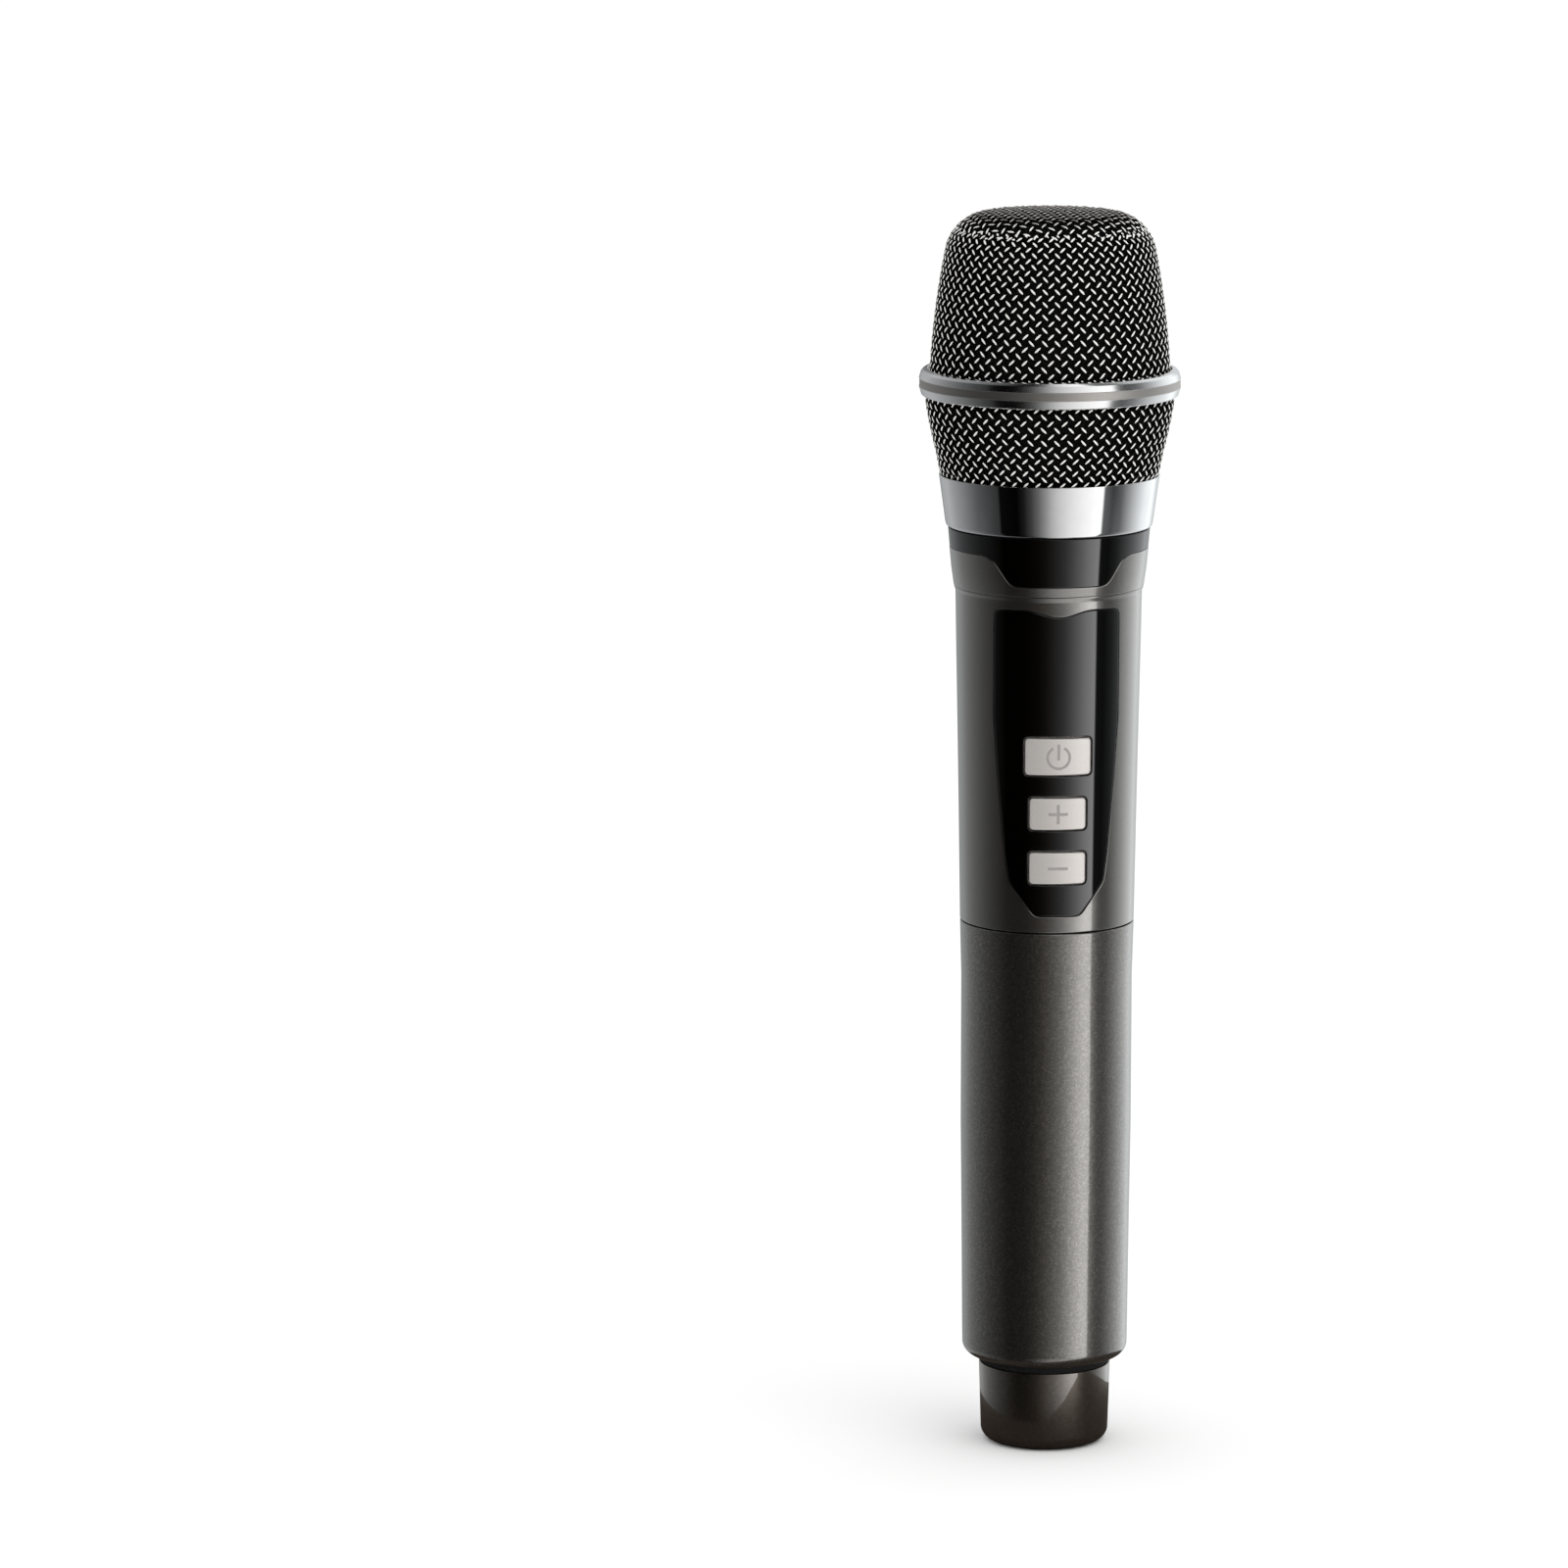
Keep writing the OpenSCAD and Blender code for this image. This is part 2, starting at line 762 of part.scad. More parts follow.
// Ring with a groove round its middle; the cup ends in it below and the dome above.
module grille_band() {
  cup_r = lookup(ring_z0 + 2, cup);
  dome_r = dome_side(dome_z0);
  color(chrome)
    rotate_extrude() polygon([
      [cup_r, ring_z0], [25.4, ring_z0], [25.9, ring_z0 + 0.6], [ring_r, ring_z0 + 1.2],
      [ring_r, 215.6], [ring_r - 0.25, 215.9], [ring_r - 0.25, 216.4], [ring_r, 216.7],
      [ring_r, ring_z1 - 1.3], [25.8, ring_z1 - 0.7], [24.9, ring_z1 - 0.1], [24.5, ring_z1],
      [dome_r, ring_z1], [dome_r, dome_z0], [22.4, dome_z0], [22.4, ring_z0 + 2],
      [cup_r, ring_z0 + 2]
    ]);
}

module grille_dome() {
  color(steel)
    rotate_extrude() polygon(concat(
      [for (z = [dome_z0 : (dome_corner_z - dome_z0) / 4 : dome_corner_z]) [dome_side(z) - eps, z]],
      dome_corner(0),
      [[0, total_h], [0, total_h - mesh_wall]],
      backwards(dome_corner(-mesh_wall)),
      [for (i = [4 : -1 : 0])
        let(z = dome_z0 + i * (dome_corner_z - dome_z0) / 4) [dome_side(z) - mesh_wall, z]]
    ));
}

upper_body_shell();
neck_shell();
neck_trim();
head_thread_ring();
control_fascia();
display_module();
main_board();
button_switches();
rf_shield_can();
controller_chip();
board_capacitors();
board_screws();
chassis_frame();
body_thread_ring();
battery_tray();
battery_cell_left();
battery_cell_right();
battery_springs();
battery_contacts();
battery_leads();
tail_cap();
tail_ring();
antenna_coil();
antenna_lead();
capsule_shock_mount();
capsule_chamber();
capsule_housing();
capsule_cover();
capsule_diaphragm();
voice_coil();
magnet();
pole_plate();
magnet_yoke();
terminal_board();
capsule_leads();
power_button();
plus_button();
minus_button();
power_plunger();
plus_plunger();
minus_plunger();
tail_grommet();
sleeve_o_ring();
battery_sleeve();
sleeve_thread_ring();
head_gasket();
foam_windscreen();
chrome_collar();
grille_cup();
grille_band();
grille_dome();
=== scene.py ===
"""Looks of the handheld karaoke microphone.

Lengths in the shape functions are millimetres, in the frame of part.scad: the long axis is Z, the
tail's foot rests on z = 0 and the buttons face -Y. Meshes are written in metres.
"""

import math

import bmesh
import bpy
import numpy as np
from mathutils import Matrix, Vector
from mathutils.geometry import delaunay_2d_cdt


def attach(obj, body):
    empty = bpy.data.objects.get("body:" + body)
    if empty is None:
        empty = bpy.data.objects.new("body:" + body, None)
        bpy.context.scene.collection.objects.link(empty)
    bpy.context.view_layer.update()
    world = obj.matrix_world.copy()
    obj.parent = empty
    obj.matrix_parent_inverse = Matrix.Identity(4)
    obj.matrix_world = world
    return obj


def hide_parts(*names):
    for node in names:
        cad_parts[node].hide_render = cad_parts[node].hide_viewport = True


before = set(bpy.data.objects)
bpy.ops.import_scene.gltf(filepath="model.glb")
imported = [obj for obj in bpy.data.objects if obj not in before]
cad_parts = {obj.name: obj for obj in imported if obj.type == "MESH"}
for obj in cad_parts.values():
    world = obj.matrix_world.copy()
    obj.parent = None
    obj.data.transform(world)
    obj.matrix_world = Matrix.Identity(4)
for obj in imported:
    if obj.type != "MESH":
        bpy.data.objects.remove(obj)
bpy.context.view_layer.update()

MM = 0.001
rng = np.random.default_rng(7)

# ---- sizes repeated from part.scad ----

TOTAL_H = 250.5
SEAM_Z = 107.5
SEAM_GAP = 0.3
BARREL_WALL = 2.3
SLEEVE_WALL = 1.4
BARREL = [
    (20.4, 16.7), (23.6, 16.75), (45, 16.95), (66, 17.2), (96, 17.2),
    (107.5, 17.5), (130, 17.85), (143, 18.08), (164.6, 18.5), (174.4, 18.66),
]
NECK_Z0 = 175.4
NECK_Z = 187.1
NECK = [(NECK_Z0, 19.0), (177.7, 19.4), (182.4, 19.85), (NECK_Z, 20.2)]
TRIM = [(NECK_Z0, 19.19), (NECK_Z, 20.2)]
BAND_Z = 183.2
COLLAR_Z = 197.7
COLLAR_Z0 = 188.2
COLLAR = [(COLLAR_Z0, 20.75), (COLLAR_Z, 22.05)]
HEAD_BORE_R = 18.1
HEAD_THREAD_R = 17.9
BODY_THREAD_R = 15.6
CUP = [
    (COLLAR_Z - 2, 21.2), (COLLAR_Z, 21.75), (198.6, 22.15), (202, 22.8), (205, 23.55),
    (208, 24.2), (211.6, 24.85), (215.5, 25.1),
]
MESH_WALL = 0.9
RING_R = 26.1
RING_Z0 = 213.5
RING_Z1 = 218.9
RING_BAND = (215.3, 217.0)
DOME_Z0 = 217.2
DOME_CORNER_R = 9.0
DOME_CROWN = 0.4
DOME_CORNER_Z = TOTAL_H - DOME_CROWN - DOME_CORNER_R

PANEL_DEPTH = 1.5
PANEL_HALF_W = 12.4
PANEL_TOP_Z = 172.6
PANEL_BOTTOM_Z = 111.0
BUTTON_GAP = 0.35
BUTTON_PROUD = 0.35
BUTTON_CORNER = 0.7
BUTTONS = {
    "power": (143.35, 13.0, 7.3),
    "plus": (131.8, 11.1, 6.3),
    "minus": (120.8, 11.1, 6.3),
}
BOARD_BACK_Y = -8.4
FOAM = 2.6

SLEEVE_Z0 = 17.8
TAIL_H = 16.2
BAY_Z0 = 23.4
CELL_X = 7.3
CELL_H = 49.2
CONTACT_T = 0.5
SPRING_WIRE = 0.4
SPRING_H = 2 * SPRING_WIRE + 4 * 1.9 * SPRING_WIRE
BAY_Z1 = BAY_Z0 + 2 * CONTACT_T + SPRING_H + CELL_H + 1.2

# Radius at which the barrel's (u, z) drawings are unrolled.
UNROLL_R = 18.0


def look_up(table, z):
    zs, rs = zip(*table)
    return np.interp(z, zs, rs)


def slope(table, z):
    """Change of a table's radius with height, without steps at the table's rows."""
    zs, rs = np.array(table, float).T
    return np.interp(z, (zs[1:] + zs[:-1]) / 2, np.diff(rs) / np.diff(zs))


def run(table, z0, z1, out=0.0):
    """(radius, height) points of a table between two heights, moved out by out."""
    inner = [(r + out, z) for z, r in table if z0 < z < z1]
    return [(look_up(table, z0) + out, z0), *inner, (look_up(table, z1) + out, z1)]


# The dome's side: its radius at SIDE_Z, and how much it leans and curves in above that.
SIDE_Z, SIDE_R, SIDE_LEAN, SIDE_CURVE = 220, 24.02, 0.06, 0.003


def dome_side(z):
    up = z - SIDE_Z
    return SIDE_R - SIDE_LEAN * up - SIDE_CURVE * max(0.0, up) ** 2


DOME_LEAN = math.atan(SIDE_LEAN + 2 * SIDE_CURVE * (DOME_CORNER_Z - SIDE_Z))
DOME_CORNER_X = (
    dome_side(DOME_CORNER_Z + DOME_CORNER_R * math.sin(DOME_LEAN))
    - DOME_CORNER_R * math.cos(DOME_LEAN)
)


def dome_profile(out=0.0, steps=40):
    """(radius, height) points of the dome from its foot to its top."""
    side = [(dome_side(z) + out, z) for z in np.linspace(DOME_Z0, DOME_CORNER_Z, steps)]
    lean = math.degrees(DOME_LEAN)
    corner = arc(DOME_CORNER_X, DOME_CORNER_Z, DOME_CORNER_R + out, lean, 90, steps)
    top = [
        (DOME_CORNER_X * (1 - t), TOTAL_H + out - DOME_CROWN * (1 - t) ** 2)
        for t in np.linspace(0, 1, steps)
    ]
    return side + corner[1:] + top[1:]


def unit(vectors):
    """Vectors, one to a row, brought to length 1."""
    return vectors / np.linalg.norm(vectors, axis=-1, keepdims=True)


def arc(x, y, radius, start, end, count):
    """Points round (x, y) from one angle to another, in degrees."""
    angles = np.radians(np.linspace(start, end, count))
    return [(x + radius * math.cos(a), y + radius * math.sin(a)) for a in angles]


def box(x0, y0, x1, y1):
    return [(x0, y0), (x1, y0), (x1, y1), (x0, y1)]


def bend(a, p, b, steps):
    """Curve from a to b that p pulls towards itself."""
    return [(1 - t) ** 2 * a + 2 * t * (1 - t) * p + t**2 * b for t in np.linspace(0, 1, steps)]


def split(points, spacing, closed=True):
    """A polyline with its stretches cut into equal steps of about spacing."""
    points = np.asarray(points, float)
    made = []
    for a, b in zip(points, np.roll(points, -1, 0) if closed else points[1:]):
        steps = max(1, round(float(np.linalg.norm(b - a)) / spacing))
        made += [a + (b - a) * k / steps for k in range(steps)]
    return np.array(made if closed else [*made, points[-1]])


# ---- pieces ----


def placed(data):
    """New object in the scene, with the name of its mesh, light or camera."""
    made = bpy.data.objects.new(data.name, data)
    bpy.context.scene.collection.objects.link(made)
    return made


def add_piece(mesh, body, finish, node=None):
    """Piece with its mesh's name, which rides on body and stands for node where one is given."""
    piece = placed(mesh)
    mesh.materials.append(FINISHES[finish])
    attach(piece, body)
    if node:
        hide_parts(node)
    return piece


def mesh_of(name, points, faces, sides=()):
    """Smooth mesh in metres from millimetre points; points that coincide are joined."""
    mesh = bpy.data.meshes.new(name)
    mesh.from_pydata([tuple(p) for p in np.asarray(points, float) * MM], [], faces)
    if sides:
        mesh.attributes.new("side", "INT", "FACE").data.foreach_set("value", sides)
    bm = bmesh.new()
    bm.from_mesh(mesh)
    bmesh.ops.remove_doubles(bm, verts=bm.verts, dist=0.002 * MM)
    bmesh.ops.recalc_face_normals(bm, faces=bm.faces)
    bm.to_mesh(mesh)
    bm.free()
    mesh.shade_smooth()
    mesh.set_sharp_from_angle(angle=math.radians(38))
    return mesh


def hold_flats(piece):
    """Normals follow the large faces, so that only a rounded edge shades as round."""
    weighted = piece.modifiers.new("hold_flats", "WEIGHTED_NORMAL")
    weighted.keep_sharp = True
    weighted.weight = 100


def rounded(profile, radius=0.2, steps=3):
    """Closed profile with its corners replaced by small arcs."""
    points = [np.array(p, float) for p in profile]
    made = []
    for i, p in enumerate(points):
        a, b = points[i - 1] - p, points[(i + 1) % len(points)] - p
        la, lb = np.linalg.norm(a), np.linalg.norm(b)
        turn = 0.0
        if min(la, lb, p[0]) > 1e-6:
            a, b = a / la, b / lb
            turn = math.pi - math.acos(np.clip(a @ b, -1, 1))
        if turn < math.radians(12):
            made.append(p)
        else:
            reach = min(radius * math.tan(turn / 2), 0.42 * la, 0.42 * lb)
            made += bend(p + a * reach, p, p + b * reach, steps + 1)
    return made


def lathe(profile, columns=192, shift=None):
    """Points and faces of a closed profile turned round Z. shift(angle, r, z) may move a radius."""
    n = len(profile)
    points, faces = [], []
    for c in range(columns):
        angle, d = 2 * math.pi * c / columns, (c + 1) % columns
        for i, (r, z) in enumerate(profile):
            reach = shift(angle, r, z) if shift else r
            points.append((reach * math.sin(angle), -reach * math.cos(angle), z))
            j = (i + 1) % n
            if max(r, profile[j][0]) > 1e-6:
                faces.append((c * n + i, d * n + i, d * n + j, c * n + j))
    return points, faces


def turned(name, profile, body, finish, node, radius=0.2, columns=192):
    """Piece turned round Z from a closed profile, with its corners rounded."""
    mesh = mesh_of(name, *lathe(rounded(profile, radius), columns))
    hold_flats(add_piece(mesh, body, finish, node))


# ---- panels that lie on the barrel ----
# A panel is drawn unrolled, as (u, z): u runs round the barrel in millimetres at UNROLL_R. A row is
# an open line of such points that goes round the whole barrel, from its back to its back.

# Spacing of the points inside a patch, round the barrel and along it.
STEP = (1.0, 3.0)


def on_barrel(table, u, z, depth, straight):
    """Point of the barrel under (u, z). A straight wall goes back along Y, and others go in."""
    r = float(look_up(table, z))
    angle = u / UNROLL_R
    if straight:
        x = r * math.sin(angle)
        return (x, -math.sqrt((r - depth) ** 2 - x * x), z)
    return ((r - depth) * math.sin(angle), -(r - depth) * math.cos(angle), z)


def unrolled(points, table):
    """(u, z) of the (x, z) points of a drawing on the barrel's front."""
    u = UNROLL_R * np.arcsin(points[:, 0] / look_up(table, points[:, 1]))
    return np.column_stack([u, points[:, 1]])


def outline_from(half, soften=2):
    """Unrolled closed outline of a right-hand half in (x, z), mirrored, with soft corners."""
    loop = split([*half, *((-x, z) for x, z in reversed(half) if x > 0.02)], 0.7)
    for _ in range(soften):
        loop = (np.roll(loop, 1, 0) + 2 * loop + np.roll(loop, -1, 0)) / 4
    return unrolled(loop, BARREL)


def inward(loop, row=False):
    """Unit vectors at a loop's or a row's points, at right angles to it, to its left."""
    if not row:
        ahead, behind = np.roll(loop, -1, 0), np.roll(loop, 1, 0)
    else:
        ahead = np.vstack([loop[1:], loop[-1:] + (loop[1:2] - loop[:1])])
        behind = np.vstack([loop[:1] - (loop[-1:] - loop[-2:-1]), loop[:-1]])
    along = unit(ahead - behind)
    return np.column_stack([-along[:, 1], along[:, 0]])


def inside(points, loops):
    """Which points lie inside the first of some loops and outside the others, its holes."""
    x, y = points.T
    found = np.zeros(len(points), bool)
    for loop in loops:
        for (x0, y0), (x1, y1) in zip(loop, np.roll(loop, -1, 0)):
            crosses = (y0 > y) != (y1 > y)
            with np.errstate(divide="ignore", invalid="ignore"):
                found ^= crosses & (x < (x1 - x0) * (y - y0) / (y1 - y0) + x0)
    return found


def patch(outer, holes, step):
    """Flat triangles inside the outer loop and outside the holes: (points, faces)."""
    loops = [outer, *holes]
    edge = np.vstack(loops)
    axes = [
        np.linspace(low, high, max(2, round((high - low) / size)) + 1)
        for low, high, size in zip(outer.min(0), outer.max(0), step)
    ]
    grid = np.stack(np.meshgrid(*axes, indexing="ij"), -1).reshape(-1, 2)
    grid = grid[inside(grid, loops)]
    gaps = np.linalg.norm(grid[:, None] - edge, axis=-1).min(1)
    points = np.vstack([edge, grid[gaps > 0.45 * min(step)]])
    edges, start = [], 0
    for loop in loops:
        n = len(loop)
        edges += [(start + i, start + (i + 1) % n) for i in range(n)]
        start += n
    flat, _, faces, *_ = delaunay_2d_cdt([Vector(p) for p in points], edges, [], 0, 1e-5)
    flat = np.array(flat)
    faces = np.array([f for f in faces if len(f) == 3])
    return flat, faces[inside(flat[faces].mean(1), loops)]


class Skin:
    """Collects patches and walls of a panel and writes them as one closed mesh."""

    def __init__(self, table):
        self.table = table
        self.points, self.faces, self.sides = [], [], []

    def add_patch(self, flat, faces, depth, side, straight=False):
        """side is 1 for a face that looks out and -1 for one that looks in."""
        start = len(self.points)
        self.points += [on_barrel(self.table, u, z, depth, straight) for u, z in flat]
        self.faces += (faces + start).tolist()
        self.sides += [side] * len(faces)

    def add_round(self, bottom, top, depth, side, holes=(), step=STEP):
        """Patch between two rows."""
        n = max(1, round((top[0][1] - bottom[0][1]) / step[1]))
        rise = np.linspace(0, 1, n + 1)[1:-1, None]
        right = bottom[-1] + (top[-1] - bottom[-1]) * rise
        left = top[0] + (bottom[0] - top[0]) * rise
        outer = np.vstack([bottom, right, top[::-1], left])
        self.add_patch(*patch(outer, holes, step), depth, side)

    def add_wall(self, loop, steps, row=False):
        """Strips along a loop, or a row, through (distance to its left, depth) pairs."""
        left, n = inward(loop, row), len(loop)
        for k, (offset, depth) in enumerate(steps):
            start = len(self.points)
            for u, z in loop + left * offset:
                self.points.append(on_barrel(self.table, u, z, depth, straight=not row))
            for i in range(n - row if k else 0):
                a, b = start + i, start + (i + 1) % n
                self.faces.append((a - n, b - n, b, a))
                self.sides.append(0)

    def write(self, name):
        """The mesh, with exact barrel normals on the faces that lie on the barrel."""
        mesh = mesh_of(name, self.points, self.faces, self.sides)

        def read(items, field, kind, width=1):
            values = np.zeros(len(items) * width, kind)
            items.foreach_get(field, values)
            return values

        corners = read(mesh.loops, "vertex_index", np.int32)
        places = read(mesh.vertices, "co", float, 3).reshape(-1, 3)[corners] / MM
        side = np.repeat(
            read(mesh.attributes["side"].data, "value", np.int32),
            read(mesh.polygons, "loop_total", np.int32),
        )
        radius = np.hypot(places[:, 0], places[:, 1])
        lean = slope(self.table, places[:, 2])
        normals = unit(np.column_stack([places[:, 0] / radius, places[:, 1] / radius, -lean]))
        mesh.normals_split_custom_set((normals * side[:, None]).tolist())
        mesh.attributes.remove(mesh.attributes["side"])
        return mesh


def rim(edge, depth=0.0):
    """Steps of a rounded rim: from the face, set in by edge, down to the wall."""
    return arc(edge, depth + edge, edge, -90, -180, 4)


def panel(name, outline, holes, face, back, edge, step, wall=()):
    """Closed panel on the barrel between the depths face and back, with rounded rims on its face."""
    skin = Skin(BARREL)
    loops = [outline, *holes]
    last = wall[-1][0] if wall else 0.0

    def lay(offset, depth, side):
        outer, *inner = [loop + inward(loop) * offset for loop in loops]
        skin.add_patch(*patch(outer, inner, step), depth, side, straight=True)

    lay(edge, face, 1)
    for loop in loops:
        skin.add_wall(loop, [*rim(edge, face), *wall, (last, back)])
    lay(last, back, -1)
    return skin.write(name)


def round_row(z, columns=120):
    return np.array([(UNROLL_R * a, z) for a in np.linspace(-math.pi, math.pi, columns + 1)])


# ---- outlines ----


def panel_half():
    """Right-hand half of the control panel, with the dip in the middle of its top."""
    corner_r, dip, dip_x = 1.4, 1.35, 6.8
    side_z = PANEL_TOP_Z - corner_r
    wave = [
        (x, PANEL_TOP_Z - dip * (1 + math.cos(math.pi * x / dip_x)) / 2)
        for x in np.linspace(dip_x, 0, 10)
    ]
    return [
        (4.5, PANEL_BOTTOM_Z), (9.5, 117.6), (10.3, 123.4), (11.6, 138.7), (PANEL_HALF_W, 151),
        (PANEL_HALF_W, side_z), *arc(PANEL_HALF_W - corner_r, side_z, corner_r, 15, 75, 5),
        (PANEL_HALF_W - corner_r, PANEL_TOP_Z), *wave,
    ]


def button_loop(z, w, h, grow=0.0, turn=1):
    """Rounded rectangle on the barrel's front; turn -1 runs it the other way, for a hole."""
    r = BUTTON_CORNER + grow
    x, y = w / 2 + grow - r, h / 2 + grow - r
    half = [
        (0.0, z - y - r), (x, z - y - r), *arc(x, z - y, r, -75, 0, 6),
        *arc(x, z + y, r, 0, 75, 6), (x, z + y + r), (0.0, z + y + r),
    ]
    return outline_from(half, soften=0)[::turn]


BIB = [
    (0.0, 177.4), (8.6, 177.4), (9.3, 177.5), (9.9, 177.9), (11.7, 180.6), (12.4, 181.8),
    (13.2, 182.6), (14.6, BAND_Z),
]


def bib_row():
    """Row along the lower edge of the black band, with the bib on its front."""
    front = unrolled(split(BIB, 0.7, closed=False), NECK)
    rest = np.linspace(front[-1, 0], UNROLL_R * math.pi, 84)
    right = np.vstack([front[:-1], np.column_stack([rest, np.full(len(rest), BAND_Z)])])
    row = np.vstack([(right[1:] * (-1, 1))[::-1], right])
    for _ in range(2):
        row[1:-1] = (row[:-2] + 2 * row[1:-1] + row[2:]) / 4
    return row


# ---- woven wire ----

WIRES = 57
WIRE_R = 0.225
WEAVE = 0.22
SAMPLES = 4
# Turn of the dome's square net from lying at 45 degrees, in degrees.
NET_TURN = 6.8


def round_faces(rings, sides, start=0):
    """Faces round the rings of points of a wire, with flat ends."""
    i = start + sides * np.arange(rings - 1)[:, None]
    k = np.arange(sides)
    m = (k + 1) % sides
    quads = np.stack([i + k, i + m, i + sides + m, i + sides + k], -1).reshape(-1, 4)
    last = start + (rings - 1) * sides
    ends = [list(range(start, start + sides))[::-1], list(range(last, last + sides))]
    return quads.tolist() + ends


def strand_mesh(name, strands, sides=6):
    """Closed round wires. Each strand is (centres, outward directions, heights from -1 to 1)."""
    points, faces, crowns, total = [], [], [], 0
    angles = 2 * math.pi * np.arange(sides) / sides
    for centres, outs, heights in strands:
        along = unit(np.gradient(centres, axis=0))
        side = unit(np.cross(along, outs))
        out = np.cross(side, along)
        ring = centres[:, None] + WIRE_R * (
            np.cos(angles)[:, None] * out[:, None] + np.sin(angles)[:, None] * side[:, None]
        )
        points.append(ring.reshape(-1, 3))
        shown = np.clip((heights + 0.2) / 1.2, 0, 1)[:, None] * np.clip(np.cos(angles), 0, 1)
        crowns.append(shown.ravel())
        faces += round_faces(len(centres), sides, total)
        total += len(centres) * sides
    mesh = bpy.data.meshes.new(name)
    mesh.from_pydata((np.vstack(points) * MM).tolist(), [], faces)
    crown = mesh.attributes.new("crown", "FLOAT", "POINT")
    crown.data.foreach_set("value", np.concatenate(crowns).astype(np.float32))
    mesh.shade_smooth()
    return mesh


def walked(profile, per=1.0):
    """How far each of a profile's points is along it, in units of per."""
    return np.concatenate([[0], np.cumsum(np.hypot(*np.diff(profile, axis=0).T) / per)])


def outward_of(profile):
    """Unit vectors that point out of a profile that runs up."""
    along = unit(np.gradient(profile, axis=0))
    return np.column_stack([along[:, 1], -along[:, 0]])


def resample(profile, values, at):
    return np.column_stack([np.interp(at, values, profile[:, i]) for i in range(2)])


def strand(rz, normal, around, heights):
    """Wire that weaves in the middle of the wall inside rz; around is its (x, y) direction."""
    reach = rz + normal * (heights[:, None] * WEAVE - MESH_WALL / 2)
    centres = np.column_stack([reach[:, :1] * around, reach[:, 1]])
    outs = np.column_stack([normal[:, :1] * around, normal[:, 1]])
    return centres, outs, heights


def side_net(profile, z_end=TOTAL_H):
    """Wires at 45 degrees both ways round a profile of (radius, height), up to z_end."""
    profile = np.array([p for p in profile if p[1] <= z_end])
    turn = walked(profile, (profile[1:, 0] + profile[:-1, 0]) / 2)
    s = np.linspace(0, turn[-1], int(turn[-1] * WIRES / math.pi * SAMPLES))
    rz = resample(profile, turn, s)
    outward = outward_of(rz)
    strands = []
    for direction in (1, -1):
        heights = direction * np.cos(s * WIRES)
        for i in range(WIRES):
            wander = 0.0022 * np.sin(s * rng.uniform(4, 9) + rng.uniform(0, 6.3))
            angle = 2 * math.pi * i / WIRES + direction * s + wander
            around = np.column_stack([np.sin(angle), -np.cos(angle)])
            strands.append(strand(rz, outward, around, heights))
    return strands


def top_net(profile, reach_out, pitch=1.87):
    """Square net laid over the dome's top and its corner, down to reach_out along the skin."""
    profile = np.array(profile)[::-1]
    length, outward = walked(profile), -outward_of(profile)
    count = int(reach_out / pitch)
    strands = []
    for direction in (1, -1):
        for i in range(-count, count + 1):
            half = math.sqrt(max(reach_out**2 - (i * pitch) ** 2, 0)) * rng.uniform(0.97, 1.0)
            n = int(2 * half / pitch * SAMPLES)
            if n < 8:
                continue
            t = np.linspace(-half, half, n)
            across = i * pitch + 0.1 * np.sin(t * rng.uniform(0.15, 0.4) + rng.uniform(0, 6.3))
            lean = direction * math.pi / 4 + math.radians(NET_TURN)
            x = t * math.cos(lean) - direction * across * math.sin(lean)
            y = t * math.sin(lean) + direction * across * math.cos(lean)
            rho = np.hypot(x, y)
            heights = direction * np.cos(math.pi * (t / pitch + i))
            around = np.column_stack([x, y]) / np.maximum(rho, 1e-6)[:, None]
            rz, normal = (resample(table, length, rho) for table in (profile, outward))
            strands.append(strand(rz, normal, around, heights))
    return strands


# ---- threads, coils and leads ----


def thread(z0, z1, pitch, depth, r):
    """shift for lathe(): a screw thread cut into the wall at radius r between two heights."""

    def shift(angle, radius, z):
        if abs(radius - r) > 0.01 or not z0 <= z <= z1:
            return radius
        turn = (z / pitch - angle / (2 * math.pi)) % 1.0
        fade = min(1.0, (z - z0) / pitch, (z1 - z) / pitch)
        return radius - depth * fade * min(1.0, 2.2 * abs(turn - 0.5))

    return shift


def threaded(name, profile, cut, node, columns=144):
    """Plastic ring with a screw thread on the wall that cut = (z0, z1, pitch, depth, r) names."""
    z0, z1, pitch, _, r = cut
    rows = np.linspace(z0, z1, round((z1 - z0) / pitch * 8))
    full = []
    for point, after in zip(profile, profile[1:] + profile[:1]):
        full.append(point)
        if point[0] == after[0] == r:
            full += [(r, z) for z in (rows if after[1] > point[1] else rows[::-1])]
    mesh = mesh_of(name, *lathe(full, columns, thread(*cut)))
    hold_flats(add_piece(mesh, "handle", "black_plastic", node))


def tube(path, radius, sides=14):
    """Points and faces of a round wire along a path, with flat ends."""
    path = np.asarray(path, float)
    up = np.array([0.31, 0.77, 0.56])
    points = []
    for centre, way in zip(path, unit(np.gradient(path, axis=0))):
        side = unit(np.cross(way, up))
        up = np.cross(side, way)
        for a in 2 * math.pi * np.arange(sides) / sides:
            points.append(centre + radius * (math.cos(a) * side + math.sin(a) * up))
    return points, round_faces(len(path), sides)


def joined(parts):
    points, faces = [], []
    for more_points, more_faces in parts:
        faces += [[i + len(points) for i in f] for f in more_faces]
        points += more_points
    return points, faces


def helix(centre, r0, r1, z0, z1, turns, per_turn=40):
    """Coil with its end turns lying flat."""
    t = np.linspace(0, 1, int(turns * per_turn) + 1)
    flat = 0.6 / turns
    rise = np.clip((t - flat) / (1 - 2 * flat), 0, 1)
    r = r0 + (r1 - r0) * t
    angle = 2 * math.pi * turns * t
    return np.column_stack([
        centre[0] + r * np.cos(angle), centre[1] + r * np.sin(angle), z0 + (z1 - z0) * rise,
    ])


